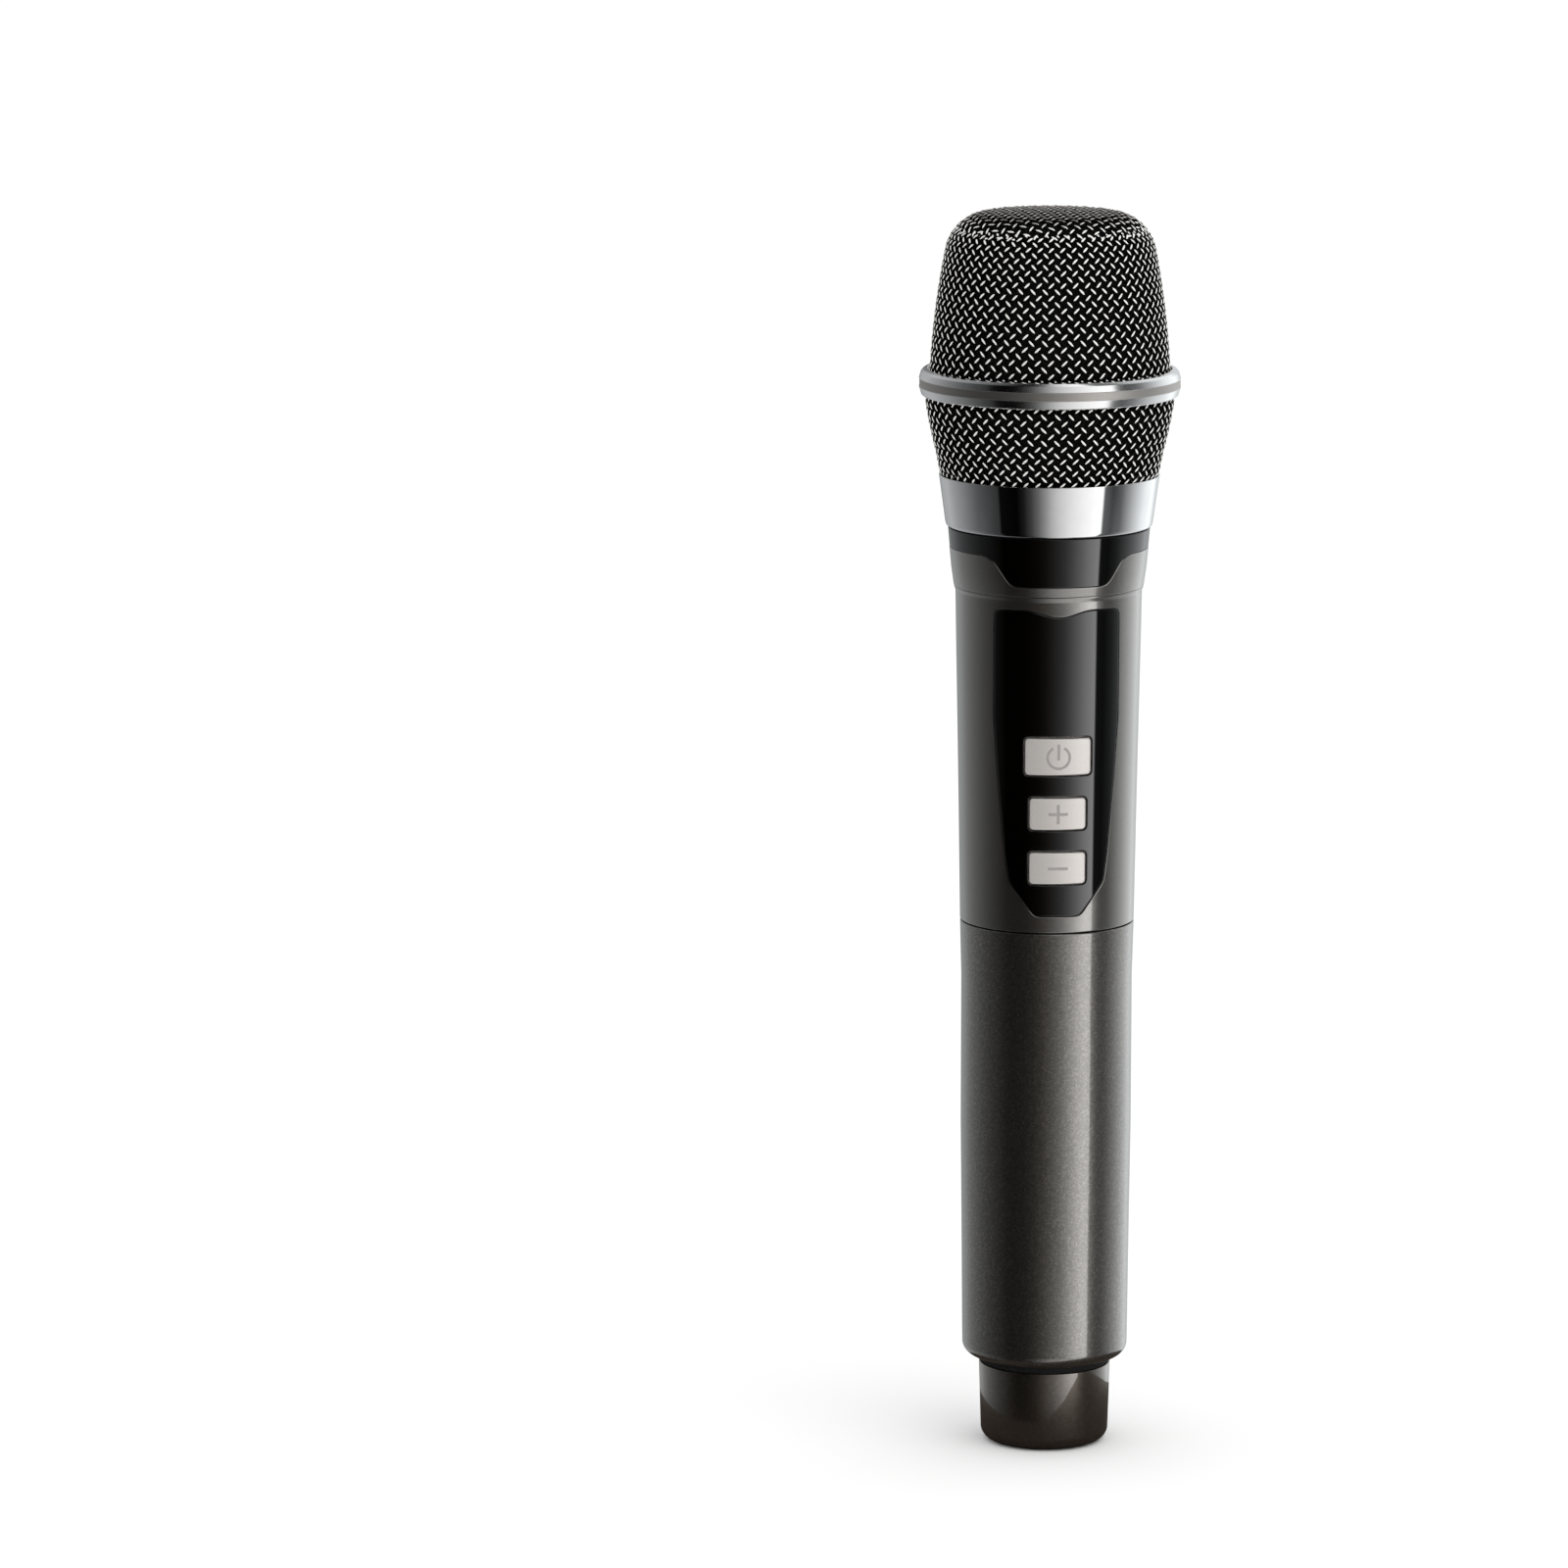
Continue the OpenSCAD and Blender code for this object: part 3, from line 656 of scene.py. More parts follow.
def bent(corners, radius=1.6, steps=6):
    """Path through corners, each turned on a soft bend."""
    corners = [np.array(c, float) for c in corners]
    path = [corners[0]]
    for before, p, after in zip(corners, corners[1:], corners[2:]):
        path += bend(p + unit(before - p) * radius, p, p + unit(after - p) * radius, steps)
    return split([*path, corners[-1]], 2.0, closed=False)


# ---- materials ----

FINISHES = {}


class Graph:
    """Adds nodes to a node tree. A value is a number, a colour or another node's output."""

    def __init__(self, tree):
        self.tree = tree

    def feed(self, socket, value):
        if isinstance(value, tuple):
            socket.default_value = (*value, 1)[:len(socket.default_value)]
        elif isinstance(value, (int, float)):
            socket.default_value = value
        else:
            self.tree.links.new(value, socket)

    def new(self, kind, *values, **settings):
        """New node. settings are its properties and inputs by name, and values its first inputs."""
        made = self.tree.nodes.new("ShaderNode" + kind)
        for key, value in settings.items():
            if key in made.inputs:
                self.feed(made.inputs[key], value)
            else:
                setattr(made, key, value)
        for socket, value in zip(made.inputs, values):
            self.feed(socket, value)
        return made

    def outputs(self, kind, *values, **settings):
        return self.new(kind, *values, **settings).outputs

    def math(self, operation, *values):
        return self.outputs("Math", *values, operation=operation)[0]

    def times(self, vector, factor):
        return self.outputs("VectorMath", vector, operation="SCALE", Scale=factor)[0]

    def mix(self, factor, a, b):
        made = self.new("Mix", factor, data_type="RGBA")
        self.feed(made.inputs[6], a)
        self.feed(made.inputs[7], b)
        return made.outputs[2]

    def scale(self, value, low, high, old_low=0.0, old_high=1.0):
        return self.outputs("MapRange", value, old_low, old_high, low, high, clamp=True)[0]

    def ramp(self, value, *stops):
        made = self.new("ValToRGB", value)
        row = made.color_ramp.elements
        while len(row) < len(stops):
            row.new(0.5)
        for element, (at, colour) in zip(row, stops):
            element.position = at
            element.color = (*colour, 1)
        return made.outputs[0]


class Finish(Graph):
    """Makes FINISHES[name], a Principled material whose patterns are laid out in millimetres."""

    def __init__(self, name, **sockets):
        material = bpy.data.materials.new(name)
        FINISHES[name] = material
        material.use_nodes = True
        super().__init__(material.node_tree)
        self.shader = self.tree.nodes["Principled BSDF"]
        for socket, value in sockets.items():
            self.set(socket.replace("_", " ").title().replace("Ior", "IOR"), value)
        self.mm = self.times(self.outputs("TexCoord")["Object"], 1 / MM)

    def set(self, socket, value):
        self.feed(self.shader.inputs[socket], value)

    def colour(self, value):
        self.set("Base Color", value)

    def stretched(self, *scale):
        return self.outputs("Mapping", self.mm, Scale=scale)[0]

    def noise(self, size, detail=2.0, where=None):
        """Soft noise whose blobs are about size millimetres wide."""
        return self.outputs("TexNoise", where or self.mm, Scale=1 / size, Detail=detail)[0]

    def cells(self, size, output="Color", where=None, feature="F1"):
        made = self.outputs("TexVoronoi", where or self.mm, feature=feature, Scale=1 / size)
        return made[output]

    def axis(self, name):
        return self.outputs("SeparateXYZ", self.mm)[name]

    def shades(self, value, dark, light, at=(0.3, 0.7)):
        return self.ramp(value, (at[0], dark), (at[1], light))

    def rough(self, value, low, high):
        self.set("Roughness", self.scale(value, low, high))

    def bump(self, height, depth):
        """Surface relief, depth in millimetres."""
        made = self.outputs("Bump", Strength=1.0, Distance=depth * MM, Height=height)
        self.set("Normal", made[0])


def plain_finish(name, tone, dark, light, grain, rough, relief=0.0, at=(0.3, 0.7), **sockets):
    """Finish in two shades. tone and grain are the (size, detail) of colour's and gloss's noise."""
    f = Finish(name, **sockets)
    f.colour(f.shades(f.noise(*tone), dark, light, at))
    f.rough(f.noise(*grain), *rough)
    if relief:
        f.bump(f.noise(*grain), relief)


def paint_finish(name, flake, dark, light, spread, relief, tint=(1.0, 0.955, 0.9)):
    """Graphite metallic paint: flakes of three greys under a clear coat."""
    f = Finish(name, metallic=0.965, coat_weight=1.0, coat_roughness=0.02, coat_ior=1.85)
    shades = [[grey * part for part in tint] for grey in (dark, dark * 0.6 + light * 0.4, light)]
    f.colour(f.ramp(f.cells(flake), *zip((0.0, 0.62, 1.0), shades)))
    f.rough(f.noise(1.1, 3.0), spread - 0.015, spread + 0.02)
    f.bump(f.noise(0.45, 2.0), relief)


def gloss_black_finish():
    f = Finish("black_gloss", base_color=(0.0004, 0.0004, 0.0004), ior=1.8)
    f.rough(f.noise(2.5, 4.0), 0.03, 0.05)
    f.bump(f.noise(9.0, 1.0), 0.001)


def ring_finish():
    """Polished bevels with a matt grey band between them."""
    low, high = RING_BAND
    half, blur = (high - low) / 2, 0.1
    f = Finish("ring_chrome", metallic=1.0)
    away = f.math("ABSOLUTE", f.math("SUBTRACT", f.axis("Z"), (low + high) / 2))
    matt = f.scale(away, 1.0, 0.0, half - blur, half + blur)
    f.colour(f.mix(matt, (0.88, 0.88, 0.88), (0.56, 0.535, 0.51)))
    f.rough(matt, 0.16, 0.5)
    f.bump(f.noise(0.25, 2.0), 0.001)


def wire_finish():
    """Black lacquered wire, bright steel on the outer side of its crowns; on the dome's top the
    steel is dimmed by painted shade.
    """
    f = Finish("wire_mesh", specular_ior_level=0.1)
    crown = f.outputs("Attribute", attribute_name="crown")["Fac"]
    crown_jitter = f.math("ADD", crown, f.scale(f.noise(0.7, 3.0), -0.06, 0.06))
    bare = f.scale(crown_jitter, 0.0, 1.0, 0.39, 0.5)
    # Painted shade: towards the dome's top the crowns' steel turns dimmer and browner, and more
    # metallic so that it takes less of the even light.
    top = f.scale(f.axis("Z"), 0.0, 1.0, TOTAL_H - 2.2, TOTAL_H - 0.9)
    steel = f.mix(top, (1.0, 0.99, 0.96), (0.8, 0.75, 0.7))
    f.colour(f.mix(bare, (0.002, 0.002, 0.002), steel))
    f.set("Metallic", f.math("MULTIPLY", bare, f.scale(top, 0.3, 1.0)))
    f.rough(bare, 0.45, 0.3)
    f.bump(f.noise(0.2, 2.0), 0.006)


def foam_finish():
    f = Finish("foam", specular_ior_level=0.1)
    pores = f.cells(0.55, "Distance")
    colours = f.shades(pores, (0.002, 0.002, 0.002), (0.007, 0.0066, 0.0062), (0.2, 0.7))
    f.colour(colours)
    f.rough(pores, 0.85, 1.0)
    f.bump(pores, 0.25)


def aluminium_finish():
    f = Finish("aluminium", metallic=1.0)
    brushed = f.noise(0.35, 3.0, f.stretched(0.1, 0.1, 2.5))
    f.colour(f.shades(brushed, (0.66, 0.66, 0.67), (0.79, 0.79, 0.8)))
    f.rough(brushed, 0.22, 0.36)
    f.bump(brushed, 0.003)


def jacket_finish(name, foot, rise):
    """Printed wrap of a cell: a dark body, a bright band at its plus end, bare metal ends."""
    f = Finish(name, metallic=0.6, coat_weight=0.8, coat_roughness=0.08)
    up = f.math("MULTIPLY", f.math("SUBTRACT", f.axis("Z"), foot), rise)
    band = (0.42, 0.4, 0.37)
    wrap = f.ramp(
        f.math("DIVIDE", up, CELL_H), (0.0, (0.55, 0.55, 0.56)), (0.022, (0.012, 0.02, 0.04)),
        (0.66, (0.03, 0.055, 0.11)), (0.67, band), (0.7, band), (0.71, (0.62, 0.6, 0.56)),
        (1.0, (0.66, 0.64, 0.6)),
    )
    f.colour(f.times(wrap, f.scale(f.noise(1.5, 4.0), 0.9, 1.06)))
    f.rough(f.noise(0.8, 3.0), 0.2, 0.36)


def board_finish():
    """Solder mask over copper tracks, with bare pads."""
    f = Finish("circuit_board", coat_weight=0.5, coat_roughness=0.15)
    tracks = f.cells(2.3, "Distance", f.stretched(1, 0.01, 1.6), "DISTANCE_TO_EDGE")
    line = f.scale(tracks, 1.0, 0.0, 0.05, 0.09)
    pads = f.scale(f.cells(1.9, "Distance", f.stretched(1, 0.01, 1)), 1.0, 0.0, 0.12, 0.16)
    mask = f.mix(line, (0.006, 0.06, 0.03), (0.02, 0.13, 0.055))
    f.colour(f.mix(pads, mask, (0.7, 0.62, 0.45)))
    f.set("Metallic", pads)
    f.rough(f.noise(0.5, 2.0), 0.3, 0.45)
    f.bump(line, 0.03)


def lead_finish(name, paired):
    """Wire insulation, black, or black on the left and red on the right."""
    f = Finish(name)
    shade = f.noise(0.6, 3.0)
    colours = f.shades(shade, (0.012, 0.012, 0.012), (0.03, 0.03, 0.03))
    if paired:
        red = f.shades(shade, (0.3, 0.015, 0.012), (0.42, 0.03, 0.022))
        colours = f.mix(f.math("GREATER_THAN", f.axis("X"), 0.0), colours, red)
    f.colour(colours)
    f.rough(shade, 0.35, 0.5)
    f.bump(shade, 0.01)


def film_finish():
    f = Finish(
        "film", base_color=(0.8, 0.76, 0.62), coat_weight=0.5, transmission_weight=0.55, ior=1.5,
    )
    f.rough(f.noise(0.8, 3.0), 0.12, 0.25)
    f.bump(f.cells(1.6, "Distance"), 0.03)


def make_finishes():
    paint_finish("sleeve_paint", 0.32, 0.155, 0.335, 0.3, 0.002, (1.0, 0.945, 0.875))
    paint_finish("barrel_paint", 0.3, 0.252, 0.292, 0.26, 0.0005)
    # Painted reflection: the tail's strong brown tint stands for a brown floor reflected in its
    # foot.
    paint_finish("tail_paint", 0.3, 0.16, 0.23, 0.28, 0.001, (1.0, 0.875, 0.75))
    gloss_black_finish()
    plain_finish(
        "chrome", (3.0, 3.0), (0.85, 0.85, 0.86), (0.89, 0.89, 0.89), (0.8, 4.0), (0.02, 0.05),
        metallic=1.0,
    )
    ring_finish()
    plain_finish(
        "button_silver", (0.16, 3.0), (0.66, 0.62, 0.585), (0.76, 0.73, 0.7), (0.16, 3.0),
        (0.4, 0.5), 0.004, metallic=0.55, coat_weight=0.25, coat_roughness=0.25,
    )
    plain_finish(
        "button_mark", (0.2, 2.0), (0.24, 0.225, 0.215), (0.34, 0.32, 0.305), (0.2, 2.0),
        (0.45, 0.6),
    )
    wire_finish()
    foam_finish()
    plain_finish(
        "rubber", (0.5, 4.0), (0.005, 0.005, 0.005), (0.012, 0.0115, 0.011), (0.5, 4.0),
        (0.6, 0.8), 0.02, (0.35, 0.75), specular_ior_level=0.25,
    )
    plain_finish(
        "black_plastic", (8.0, 2.0), (0.009, 0.009, 0.009), (0.018, 0.018, 0.018), (0.3, 3.0),
        (0.38, 0.55), 0.012,
    )
    plain_finish(
        "plated_steel", (2.0, 4.0), (0.5, 0.49, 0.47), (0.68, 0.67, 0.65), (0.4, 3.0),
        (0.2, 0.38), 0.004, metallic=1.0,
    )
    aluminium_finish()
    board_finish()
    plain_finish(
        "copper", (1.2, 3.0), (0.6, 0.27, 0.12), (0.78, 0.4, 0.2), (0.4, 3.0), (0.22, 0.34),
        metallic=1.0, coat_weight=0.6, coat_roughness=0.1,
    )
    lead_finish("lead", False)
    lead_finish("lead_pair", True)
    film_finish()
    jacket_finish("cell_left", BAY_Z0 + CONTACT_T + SPRING_H, 1.0)
    jacket_finish("cell_right", BAY_Z1 - CONTACT_T - SPRING_H, -1.0)


# What each CAD node that stays in view is finished with.
CAD_FINISHES = {
    "black_plastic": [
        "display_module", "controller_chip", "chassis_frame", "battery_tray", "capsule_chamber",
        "power_plunger", "plus_plunger", "minus_plunger",
    ],
    "circuit_board": ["main_board", "terminal_board"],
    "plated_steel": [
        "button_switches", "rf_shield_can", "board_screws", "battery_contacts", "magnet",
        "pole_plate", "magnet_yoke", "capsule_cover", "sleeve_thread_ring",
    ],
    "aluminium": ["board_capacitors", "capsule_housing"],
    "rubber": ["capsule_shock_mount", "sleeve_o_ring"],
    "copper": ["voice_coil"],
    "film": ["capsule_diaphragm"],
    "cell_left": ["battery_cell_left"],
    "cell_right": ["battery_cell_right"],
}


def finish_cad_nodes():
    for finish, names in CAD_FINISHES.items():
        for name in names:
            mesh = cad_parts[name].data
            mesh.materials.clear()
            mesh.materials.append(FINISHES[finish])


# ---- handle ----


def build_upper_body():
    """Barrel with the panel's window, a ledge behind the panel and a flange under the neck."""
    flange_z = 174.2
    table = [
        *BARREL[:-1], (flange_z, 18.657), (174.4, 18.66), (175.2, 18.95), (NECK_Z0, 18.95),
    ]
    edge, play, ledge, recess = 0.18, 0.1, 1.1, PANEL_DEPTH + 0.02
    z0 = SEAM_Z + SEAM_GAP / 2
    bottom, top = round_row(z0), round_row(flange_z)
    window = outline_from(panel_half())
    window = (window - inward(window) * play)[::-1]
    hole = window + inward(window) * edge
    flange = [(0, 0), (-0.2, 0), (-0.6, 0), (-1.0, 0), (-1.13, 0.01), (-1.19, 0.07), (-1.2, 0.15)]
    skin = Skin(table)
    skin.add_round(round_row(z0 + edge), top, 0, 1, [hole])
    skin.add_wall(window, [*rim(edge), (0, recess), (-ledge, recess), (-ledge, BARREL_WALL)])
    skin.add_wall(bottom, [*rim(edge), (0, BARREL_WALL)], row=True)
    skin.add_wall(top[::-1], [*flange, (-1.2, BARREL_WALL)], row=True)
    # The window's wall goes straight back, so it meets the narrower bore at a wider angle.
    inner = window - inward(window) * ledge
    radius = look_up(table, inner[:, 1])
    x = radius * np.sin(inner[:, 0] / UNROLL_R)
    inner[:, 0] = UNROLL_R * np.arcsin(x / (radius - BARREL_WALL))
    skin.add_round(bottom, round_row(NECK_Z0), BARREL_WALL, -1, [inner])
    add_piece(skin.write("upper_body"), "handle", "barrel_paint", "upper_body_shell")


def build_neck():
    """Flared neck, recessed above the bib's edge for the black band."""
    edge, wall, recess, play = 0.15, 2.4, 0.85, 0.05
    bottom, top, bib = round_row(NECK_Z0), round_row(NECK_Z - play), bib_row()
    low = bib - inward(bib, row=True) * play
    rimmed = low - inward(low, row=True) * edge
    skin = Skin(NECK)
    skin.add_round(round_row(NECK_Z0 + edge), rimmed, 0, 1)
    skin.add_wall(bottom, [*rim(edge), (0, wall)], row=True)
    skin.add_wall(low[::-1], [*rim(edge), (0, recess)], row=True)
    skin.add_round(low, top, recess, 1)
    skin.add_wall(top[::-1], [(0, recess), (0, wall)], row=True)
    skin.add_round(bottom, top, wall, -1)
    add_piece(skin.write("neck"), "handle", "barrel_paint", "neck_shell")


def build_neck_band():
    """Black gloss band in the neck's recess, with the bib on its front."""
    edge, wall, step = 0.12, 0.8, (1.0, 1.5)
    bib, top = bib_row(), round_row(NECK_Z)
    raised = bib + inward(bib, row=True) * edge
    skin = Skin(TRIM)
    skin.add_round(raised, round_row(NECK_Z - edge), 0, 1, step=step)
    for row in (bib, top[::-1]):
        skin.add_wall(row, [*rim(edge), (0, wall)], row=True)
    skin.add_round(bib, top, wall, -1, step=step)
    add_piece(skin.write("neck_band"), "handle", "black_gloss", "neck_trim")


def build_fascia():
    outline = outline_from(panel_half())
    holes = [button_loop(*b, grow=BUTTON_GAP, turn=-1) for b in BUTTONS.values()]
    mesh = panel("control_panel", outline, holes, 0.0, PANEL_DEPTH, 0.2, (0.9, 1.6))
    add_piece(mesh, "handle", "black_gloss", "control_fascia")


def mark_outlines():
    """Closed (x, z) outlines, round each button's middle, of its mark."""
    w, long = 0.28, 1.95
    ring = arc(0, -0.1, 2.48, 120, 420, 34) + arc(0, -0.1, 1.94, 420, 120, 34)
    plus, arm = [], [(w, w), (w, long), (-w, long)]
    for _ in range(4):
        plus += arm
        arm = [(-y, x) for x, y in arm]
    return {
        "power": [ring, box(w, 2.6, -w, -0.6)], "plus": [plus], "minus": [box(2.0, w, -2.0, -w)],
    }


def build_buttons():
    """Caps with a lip behind the panel, their posts, and their marks as thin print."""
    lip, post_r, post_y0, post_y1 = PANEL_DEPTH + 0.05, 1.6, 14.6, 16.4
    print_face, print_back = -BUTTON_PROUD - 0.02, -BUTTON_PROUD + 0.03
    post = rounded(box(0, post_y0, post_r, post_y1), 0.15)
    points, faces = lathe(post, 32)
    marks = mark_outlines()
    for name, b in BUTTONS.items():
        key, node = name + "_key", name + "_button"
        cap = panel(
            name + "_cap", button_loop(*b), [], -BUTTON_PROUD, PANEL_DEPTH + 0.9, 0.28, (0.9, 0.9),
            [(0, lip), (-0.8, lip)],
        )
        add_piece(cap, key, "button_silver", node)
        turned_post = [(x, -z, y + b[0]) for x, y, z in points]
        add_piece(mesh_of(name + "_post", turned_post, faces), key, "button_silver", node)
        for i, outline in enumerate(marks[name]):
            flat = unrolled(split(np.array(outline) + (0, b[0]), 0.4), BARREL)
            mark = f"{name}_mark_{i + 1}"
            mesh = panel(mark, flat, [], print_face, print_back, 0.015, (0.5, 0.5))
            add_piece(mesh, key, "button_mark")


def build_tail():
    wall, foot_r, foot_round, floor_z, top_r = 1.5, 12.9, 2.6, 3.4, 13.3
    tail = [
        (0, 0.25), (8.2, 0.25), (8.6, 0),
        *arc(foot_r - foot_round, foot_round, foot_round, -90, 0, 13),
        (top_r, TAIL_H), (top_r - wall, TAIL_H), (foot_r - wall, floor_z), (0, floor_z),
    ]
    turned("tail", tail, "handle", "tail_paint", "tail_cap")
    lip = [
        (10.6, 13.7), (11.65, 13.7), (11.65, TAIL_H), (13.0, TAIL_H), (13.0, 17.9), (10.6, 17.9),
    ]
    turned("tail_lip", lip, "handle", "rubber", "tail_ring", 0.15)


def build_threads():
    bore_r, r = 14.92, HEAD_THREAD_R
    spigot = [
        (bore_r, 173.6), (16.3, 173.6), (16.3, 184.1), (17.2, 184.1), (17.2, NECK_Z), (r, NECK_Z),
        (r, 196.1), (17.6, 196.4), (16.2, 196.4), (16.2, NECK_Z), (15.6, 184.6), (bore_r, 184.6),
    ]
    threaded("head_thread", spigot, (NECK_Z + 0.6, 195.9, 1.5, 0.5, r), "head_thread_ring")
    r, end_z, top_z = BODY_THREAD_R, SEAM_Z - 0.6, SEAM_Z + 6
    low = [
        (bore_r, 99.5), (15.4, 99.5), (r, 99.7), (r, end_z), (15.15, end_z), (15.15, top_z),
        (bore_r, top_z),
    ]
    threaded("body_thread", low, (99.8, SEAM_Z - 0.8, 2.5, 0.42, r), "body_thread_ring")


def add_wires(name, finish, node, *wires):
    add_piece(mesh_of(name, *joined(wires)), "handle", finish, node)


def build_springs():
    coils = []
    for side, foot in ((-1, BAY_Z0 + CONTACT_T), (1, BAY_Z1 - CONTACT_T)):
        path = helix(
            (side * CELL_X, 0), 5.0, 3.8, foot - side * SPRING_WIRE,
            foot - side * (SPRING_H - SPRING_WIRE), 4.9,
        )
        coils.append(tube(path, SPRING_WIRE - 0.03, 12))
    add_wires("spring_coils", "plated_steel", "battery_springs", *coils)


def build_antenna():
    """Winding inside the tail, and its lead up the back to the board."""
    coil_r, back_y, low_z, high_z, lead_r = 4.6, 10.6, 18.9, 94, 0.7
    winding = tube(helix((0, 0), coil_r, coil_r, 5.0, 14.2, 9.2), 0.52, 12)
    add_wires("antenna_winding", "copper", "antenna_coil", winding)
    route = [
        (0, coil_r, 15.6), (0, coil_r, low_z), (0, back_y, low_z), (0, back_y, high_z),
        (0, BOARD_BACK_Y + lead_r, high_z),
    ]
    add_wires("antenna_wire", "lead", "antenna_lead", tube(bent(route), lead_r))


def add_pair(name, node, r, x, route):
    """Two leads side by side, along route, a list of (y, z)."""
    pair = [tube(bent([(side, y, z) for y, z in route]), r) for side in (-x, x)]
    add_wires(name, "lead_pair", node, *pair)


def build_leads():
    """Pairs of leads from the battery and from the capsule to the board."""
    r, tray_y, z = 0.6, 7, 91
    route = [(tray_y, BAY_Z1 + r), (tray_y, z), (BOARD_BACK_Y + r, z)]
    add_pair("battery_wires", "battery_leads", r, 1.6, route)
    r, z, capsule_z = 0.5, 170, 187.1
    route = [(BOARD_BACK_Y + r, z), (0, z), (0, capsule_z)]
    add_pair("capsule_wires", "capsule_leads", r, 5, route)


# ---- sleeve ----


def build_sleeve():
    """Sleeve with a rounded shoulder round its mouth and a wider bore at its threaded top."""
    shoulder, mouth_r, floor_z, run_z, chamfer = 2.5, 14.1, 19.9, 20.4, 0.15
    foot_r = look_up(BARREL, run_z)
    bore_r = foot_r - SLEEVE_WALL
    groove_r = bore_r + 0.55
    top_r = BODY_THREAD_R + 0.2 + 0.7
    top_z = SEAM_Z - SEAM_GAP / 2
    sleeve = [
        (mouth_r, SLEEVE_Z0),
        *arc(foot_r - shoulder, SLEEVE_Z0 + shoulder, shoulder, -90, -7.5, 12),
        *run(BARREL, run_z, top_z - chamfer), (look_up(BARREL, top_z) - 0.12, top_z),
        (top_r, top_z), (top_r, 100), (groove_r, 99), (groove_r, 97.6), (bore_r, 97.6),
        (bore_r, floor_z), (mouth_r, floor_z),
    ]
    turned("sleeve", sleeve, "sleeve", "sleeve_paint", "battery_sleeve", 0.12, 240)
    seal = box(13.55, 18.1, 14.08, floor_z)
    turned("mouth_seal", seal, "sleeve_grommet", "rubber", "tail_grommet", 0.15)


# ---- head ----


def build_collar():
    cup_low, lap = look_up(CUP, COLLAR_Z - 2), COLLAR_Z - 2
    foot = NECK_Z + SEAM_GAP
    collar = [
        (20.3, foot), (20.6, foot + 0.25), *run(COLLAR, COLLAR_Z0, COLLAR_Z),
        (look_up(CUP, COLLAR_Z), COLLAR_Z), (cup_low, lap), (cup_low - MESH_WALL, lap),
        (cup_low - MESH_WALL, COLLAR_Z - 0.6), (HEAD_BORE_R, COLLAR_Z - 1.4), (HEAD_BORE_R, foot),
    ]
    turned("collar", collar, "head", "chrome", "chrome_collar", 0.14, 240)


def build_washer():
    """Rubber washer under the collar. It goes with the head, so that it never floats alone."""
    play, inner_r, outer_r = 0.02, HEAD_BORE_R + 0.3, 19.7
    low, high = NECK_Z + play, NECK_Z + SEAM_GAP - play
    washer = box(inner_r, low, outer_r, high)
    turned("neck_washer", washer, "head_liner", "rubber", "head_gasket", 0.05)


def build_ring():
    """Bevelled ring with a shallow groove for its matt band."""
    seat_z, seat_r, groove, slant = RING_Z0 + 2, 22.4, 0.1, 0.08
    cup_r, dome_r = look_up(CUP, seat_z), dome_side(DOME_Z0)
    low, high = RING_BAND
    ring = [
        (cup_r, RING_Z0), (25.3, RING_Z0), (25.62, RING_Z0 + 0.25), (RING_R, low),
        (RING_R - groove, low + slant), (RING_R - groove, high - slant), (RING_R, high),
        (25.72, 218.2), (25.3, 218.7), (24.6, RING_Z1), (dome_r, RING_Z1), (dome_r, DOME_Z0),
        (seat_r, DOME_Z0), (seat_r, seat_z), (cup_r, seat_z),
    ]
    turned("grille_ring", ring, "head", "ring_chrome", "grille_band", 0.12, 288)


def build_grille():
    side_end_z, top_reach = 247.3, 20.9
    dome = dome_profile()
    strands = side_net(dome, side_end_z) + top_net(dome, top_reach)
    add_piece(strand_mesh("dome_net", strands), "head", "wire_mesh", "grille_dome")
    cup = [(look_up(CUP, z), z) for z in np.linspace(COLLAR_Z - 1.9, RING_Z0 + 1.9, 60)]
    add_piece(strand_mesh("cup_net", side_net(cup)), "head", "wire_mesh", "grille_cup")


def closed_top(points):
    """Profile whose last point is moved onto the axis."""
    return [*points[:-1], (0.0, points[-1][1])]


def build_foam():
    """Foam liner just inside the wire, with a slightly uneven surface."""
    gap, waist_r, uneven = MESH_WALL + 0.28, 22.1, 0.03
    cup = [(look_up(CUP, z) - gap, z) for z in np.linspace(COLLAR_Z + 1.1, 212.4, 16)]
    waist = [(waist_r, z) for z in np.linspace(213.8, 217.4, 4)]
    dome = closed_top([p for p in dome_profile(-gap) if p[1] > 218.6][::2])
    inner_dome = closed_top([p for p in dome_profile(-gap - FOAM) if p[1] > 222][::2])
    inner_cup = [(r - FOAM, z) for r, z in cup[:-1]]
    profile = [*cup, *waist, *dome, *inner_dome[::-1], (waist_r - FOAM, 216.0), *inner_cup[::-1]]
    points, faces = lathe(profile, 180)
    points = [
        [part + rng.normal(0, uneven) for part in p] if math.hypot(p[0], p[1]) > 1e-6 else p
        for p in points
    ]
    piece = add_piece(mesh_of("foam_liner", points, faces), "head_liner", "foam", "foam_windscreen")


# ---- studio ----

CAMERA_AZIMUTH = -6.8

